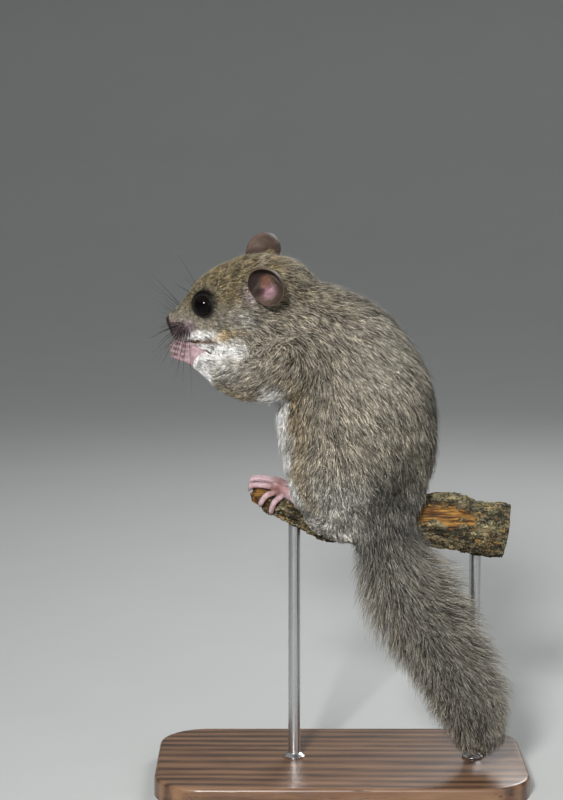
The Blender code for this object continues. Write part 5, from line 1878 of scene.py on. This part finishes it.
# Painted shade on the hair at the root of the tail, under the haunch.
body = mixed(body, TAIL_ROOT_SHADE, 1 - step_between(start, 2, 20))
body = body * (1 + 0.12 * ripple(flat_place, 7.0, 62))[:, None]
root, middle, tip = banded(body, np.ones(TAIL_TUFTS), 0.16, 0.38)
tones = np.stack([root, root * 0.5 + middle * 0.5, middle, tip], axis=1)
half_width = draw.uniform(0.11, 0.22, TAIL_TUFTS)
tail_skin = (skin_points[corners].mean(axis=1)[:, 2] < 104) & (centres[:, 0] > 8)
tail_uv = unwrapped[tail_skin].mean(axis=1)
tail_unwrapped = tail_uv[nearest_of(centres[tail_skin], path[:, 0])]
for word, inside in (("near", np.cos(turn) < 0), ("far", np.cos(turn) >= 0)):
    coat = coat_mesh(
        f"tail_hair_{word}", path[inside], outwards[inside], half_width[inside], tones[inside],
        tail_unwrapped[inside], (0.7, 1.0, 0.85),
    )
    mount(add_object(f"tail_hair_{word}", coat, fur_material), "tail_fur")


# Whiskers: stiff tapering hairs in rows on the muzzle, a few over the eye and on the chin. The
# rear ones are the longest. They are dark with paler ends.
WHISKER_RADIUS = 0.13
WHISKER_STOPS = 8
WHISKER_DARK = shade(26, 21, 19)
WHISKER_PALE = shade(120, 112, 102)
MUZZLE_SAG, FACE_SAG = 0.10, 0.05
FACE_WHISKERS = (  # over the eye, on the cheek and on the chin: place, way and length
    ((13.5, 4.2, 11.5), (0.4, 0.5, 0.9), 15),
    ((12.0, 4.8, 12.0), (0.1, 0.5, 0.9), 18),
    ((3, 14, -6), (-0.2, 0.9, -0.4), 13),
    ((15, 3.0, -16), (0.4, 0.5, -0.8), 9),
    ((13, 3.8, -15), (0.2, 0.5, -0.9), 8),
)

whiskers = []
for side in (1, -1):
    for row in range(4):
        for column in range(6):
            place = (18.4 + 1.0 * column, 5.7 - 0.4 * column, 0.2 - 1.2 * row + 0.1 * column)
            way = (0.30 + 0.15 * column, 0.85, 0.42 - 0.42 * row + 0.05 * column)
            long = 34 - 4.0 * column - 2.0 * abs(row - 1)
            whiskers.append((on_head(place, side), head_way(way, side), long, MUZZLE_SAG))
    for place, way, long in FACE_WHISKERS:
        whiskers.append((on_head(place, side), head_way(way, side), long, FACE_SAG))
count = len(whiskers)
whisker_roots, whisker_ways, whisker_lengths, whisker_sags = map(np.array, zip(*whiskers))
whisker_roots = whisker_roots + draw.normal(0, 0.12, (count, 3))
whisker_ways = towards(whisker_ways + draw.normal(0, 0.07, (count, 3)))
seated, seat_normals = settled(skin_tree, whisker_roots, np.full(count, -0.2))
bend = np.cross(whisker_ways, seat_normals)
bend = towards(np.array([0.5, 0, -0.6]) - np.cross(whisker_ways, towards(bend)))
whisker_lengths = whisker_lengths * draw.uniform(0.8, 1.1, count)
path = []
for stop in np.linspace(0, 1, WHISKER_STOPS):
    far = (whisker_lengths * stop)[:, None]
    sag = (whisker_lengths * stop**2 * whisker_sags * draw.uniform(0.6, 1.4))[:, None]
    path.append(seated + whisker_ways * far + bend * sag * 1.6)
path = np.stack(path, axis=1)
tones = np.stack([
    mixed(np.tile(WHISKER_DARK, (count, 1)), WHISKER_PALE, np.full(count, share**2 * 0.8))
    for share in np.linspace(0, 1, WHISKER_STOPS)
], axis=1)
seat_face = [skin_tree.find_nearest(Vector(place))[2] for place in whisker_roots]
seat_uv = unwrapped[seat_face].mean(axis=1)
tapers = np.linspace(1, 0.35, WHISKER_STOPS - 1)
radii = np.full(count, WHISKER_RADIUS)
whisker_mesh = coat_mesh("whiskers", path, seat_normals, radii, tones, seat_uv, tapers)
mount(add_object("whiskers", whisker_mesh, fur_material), "fur")
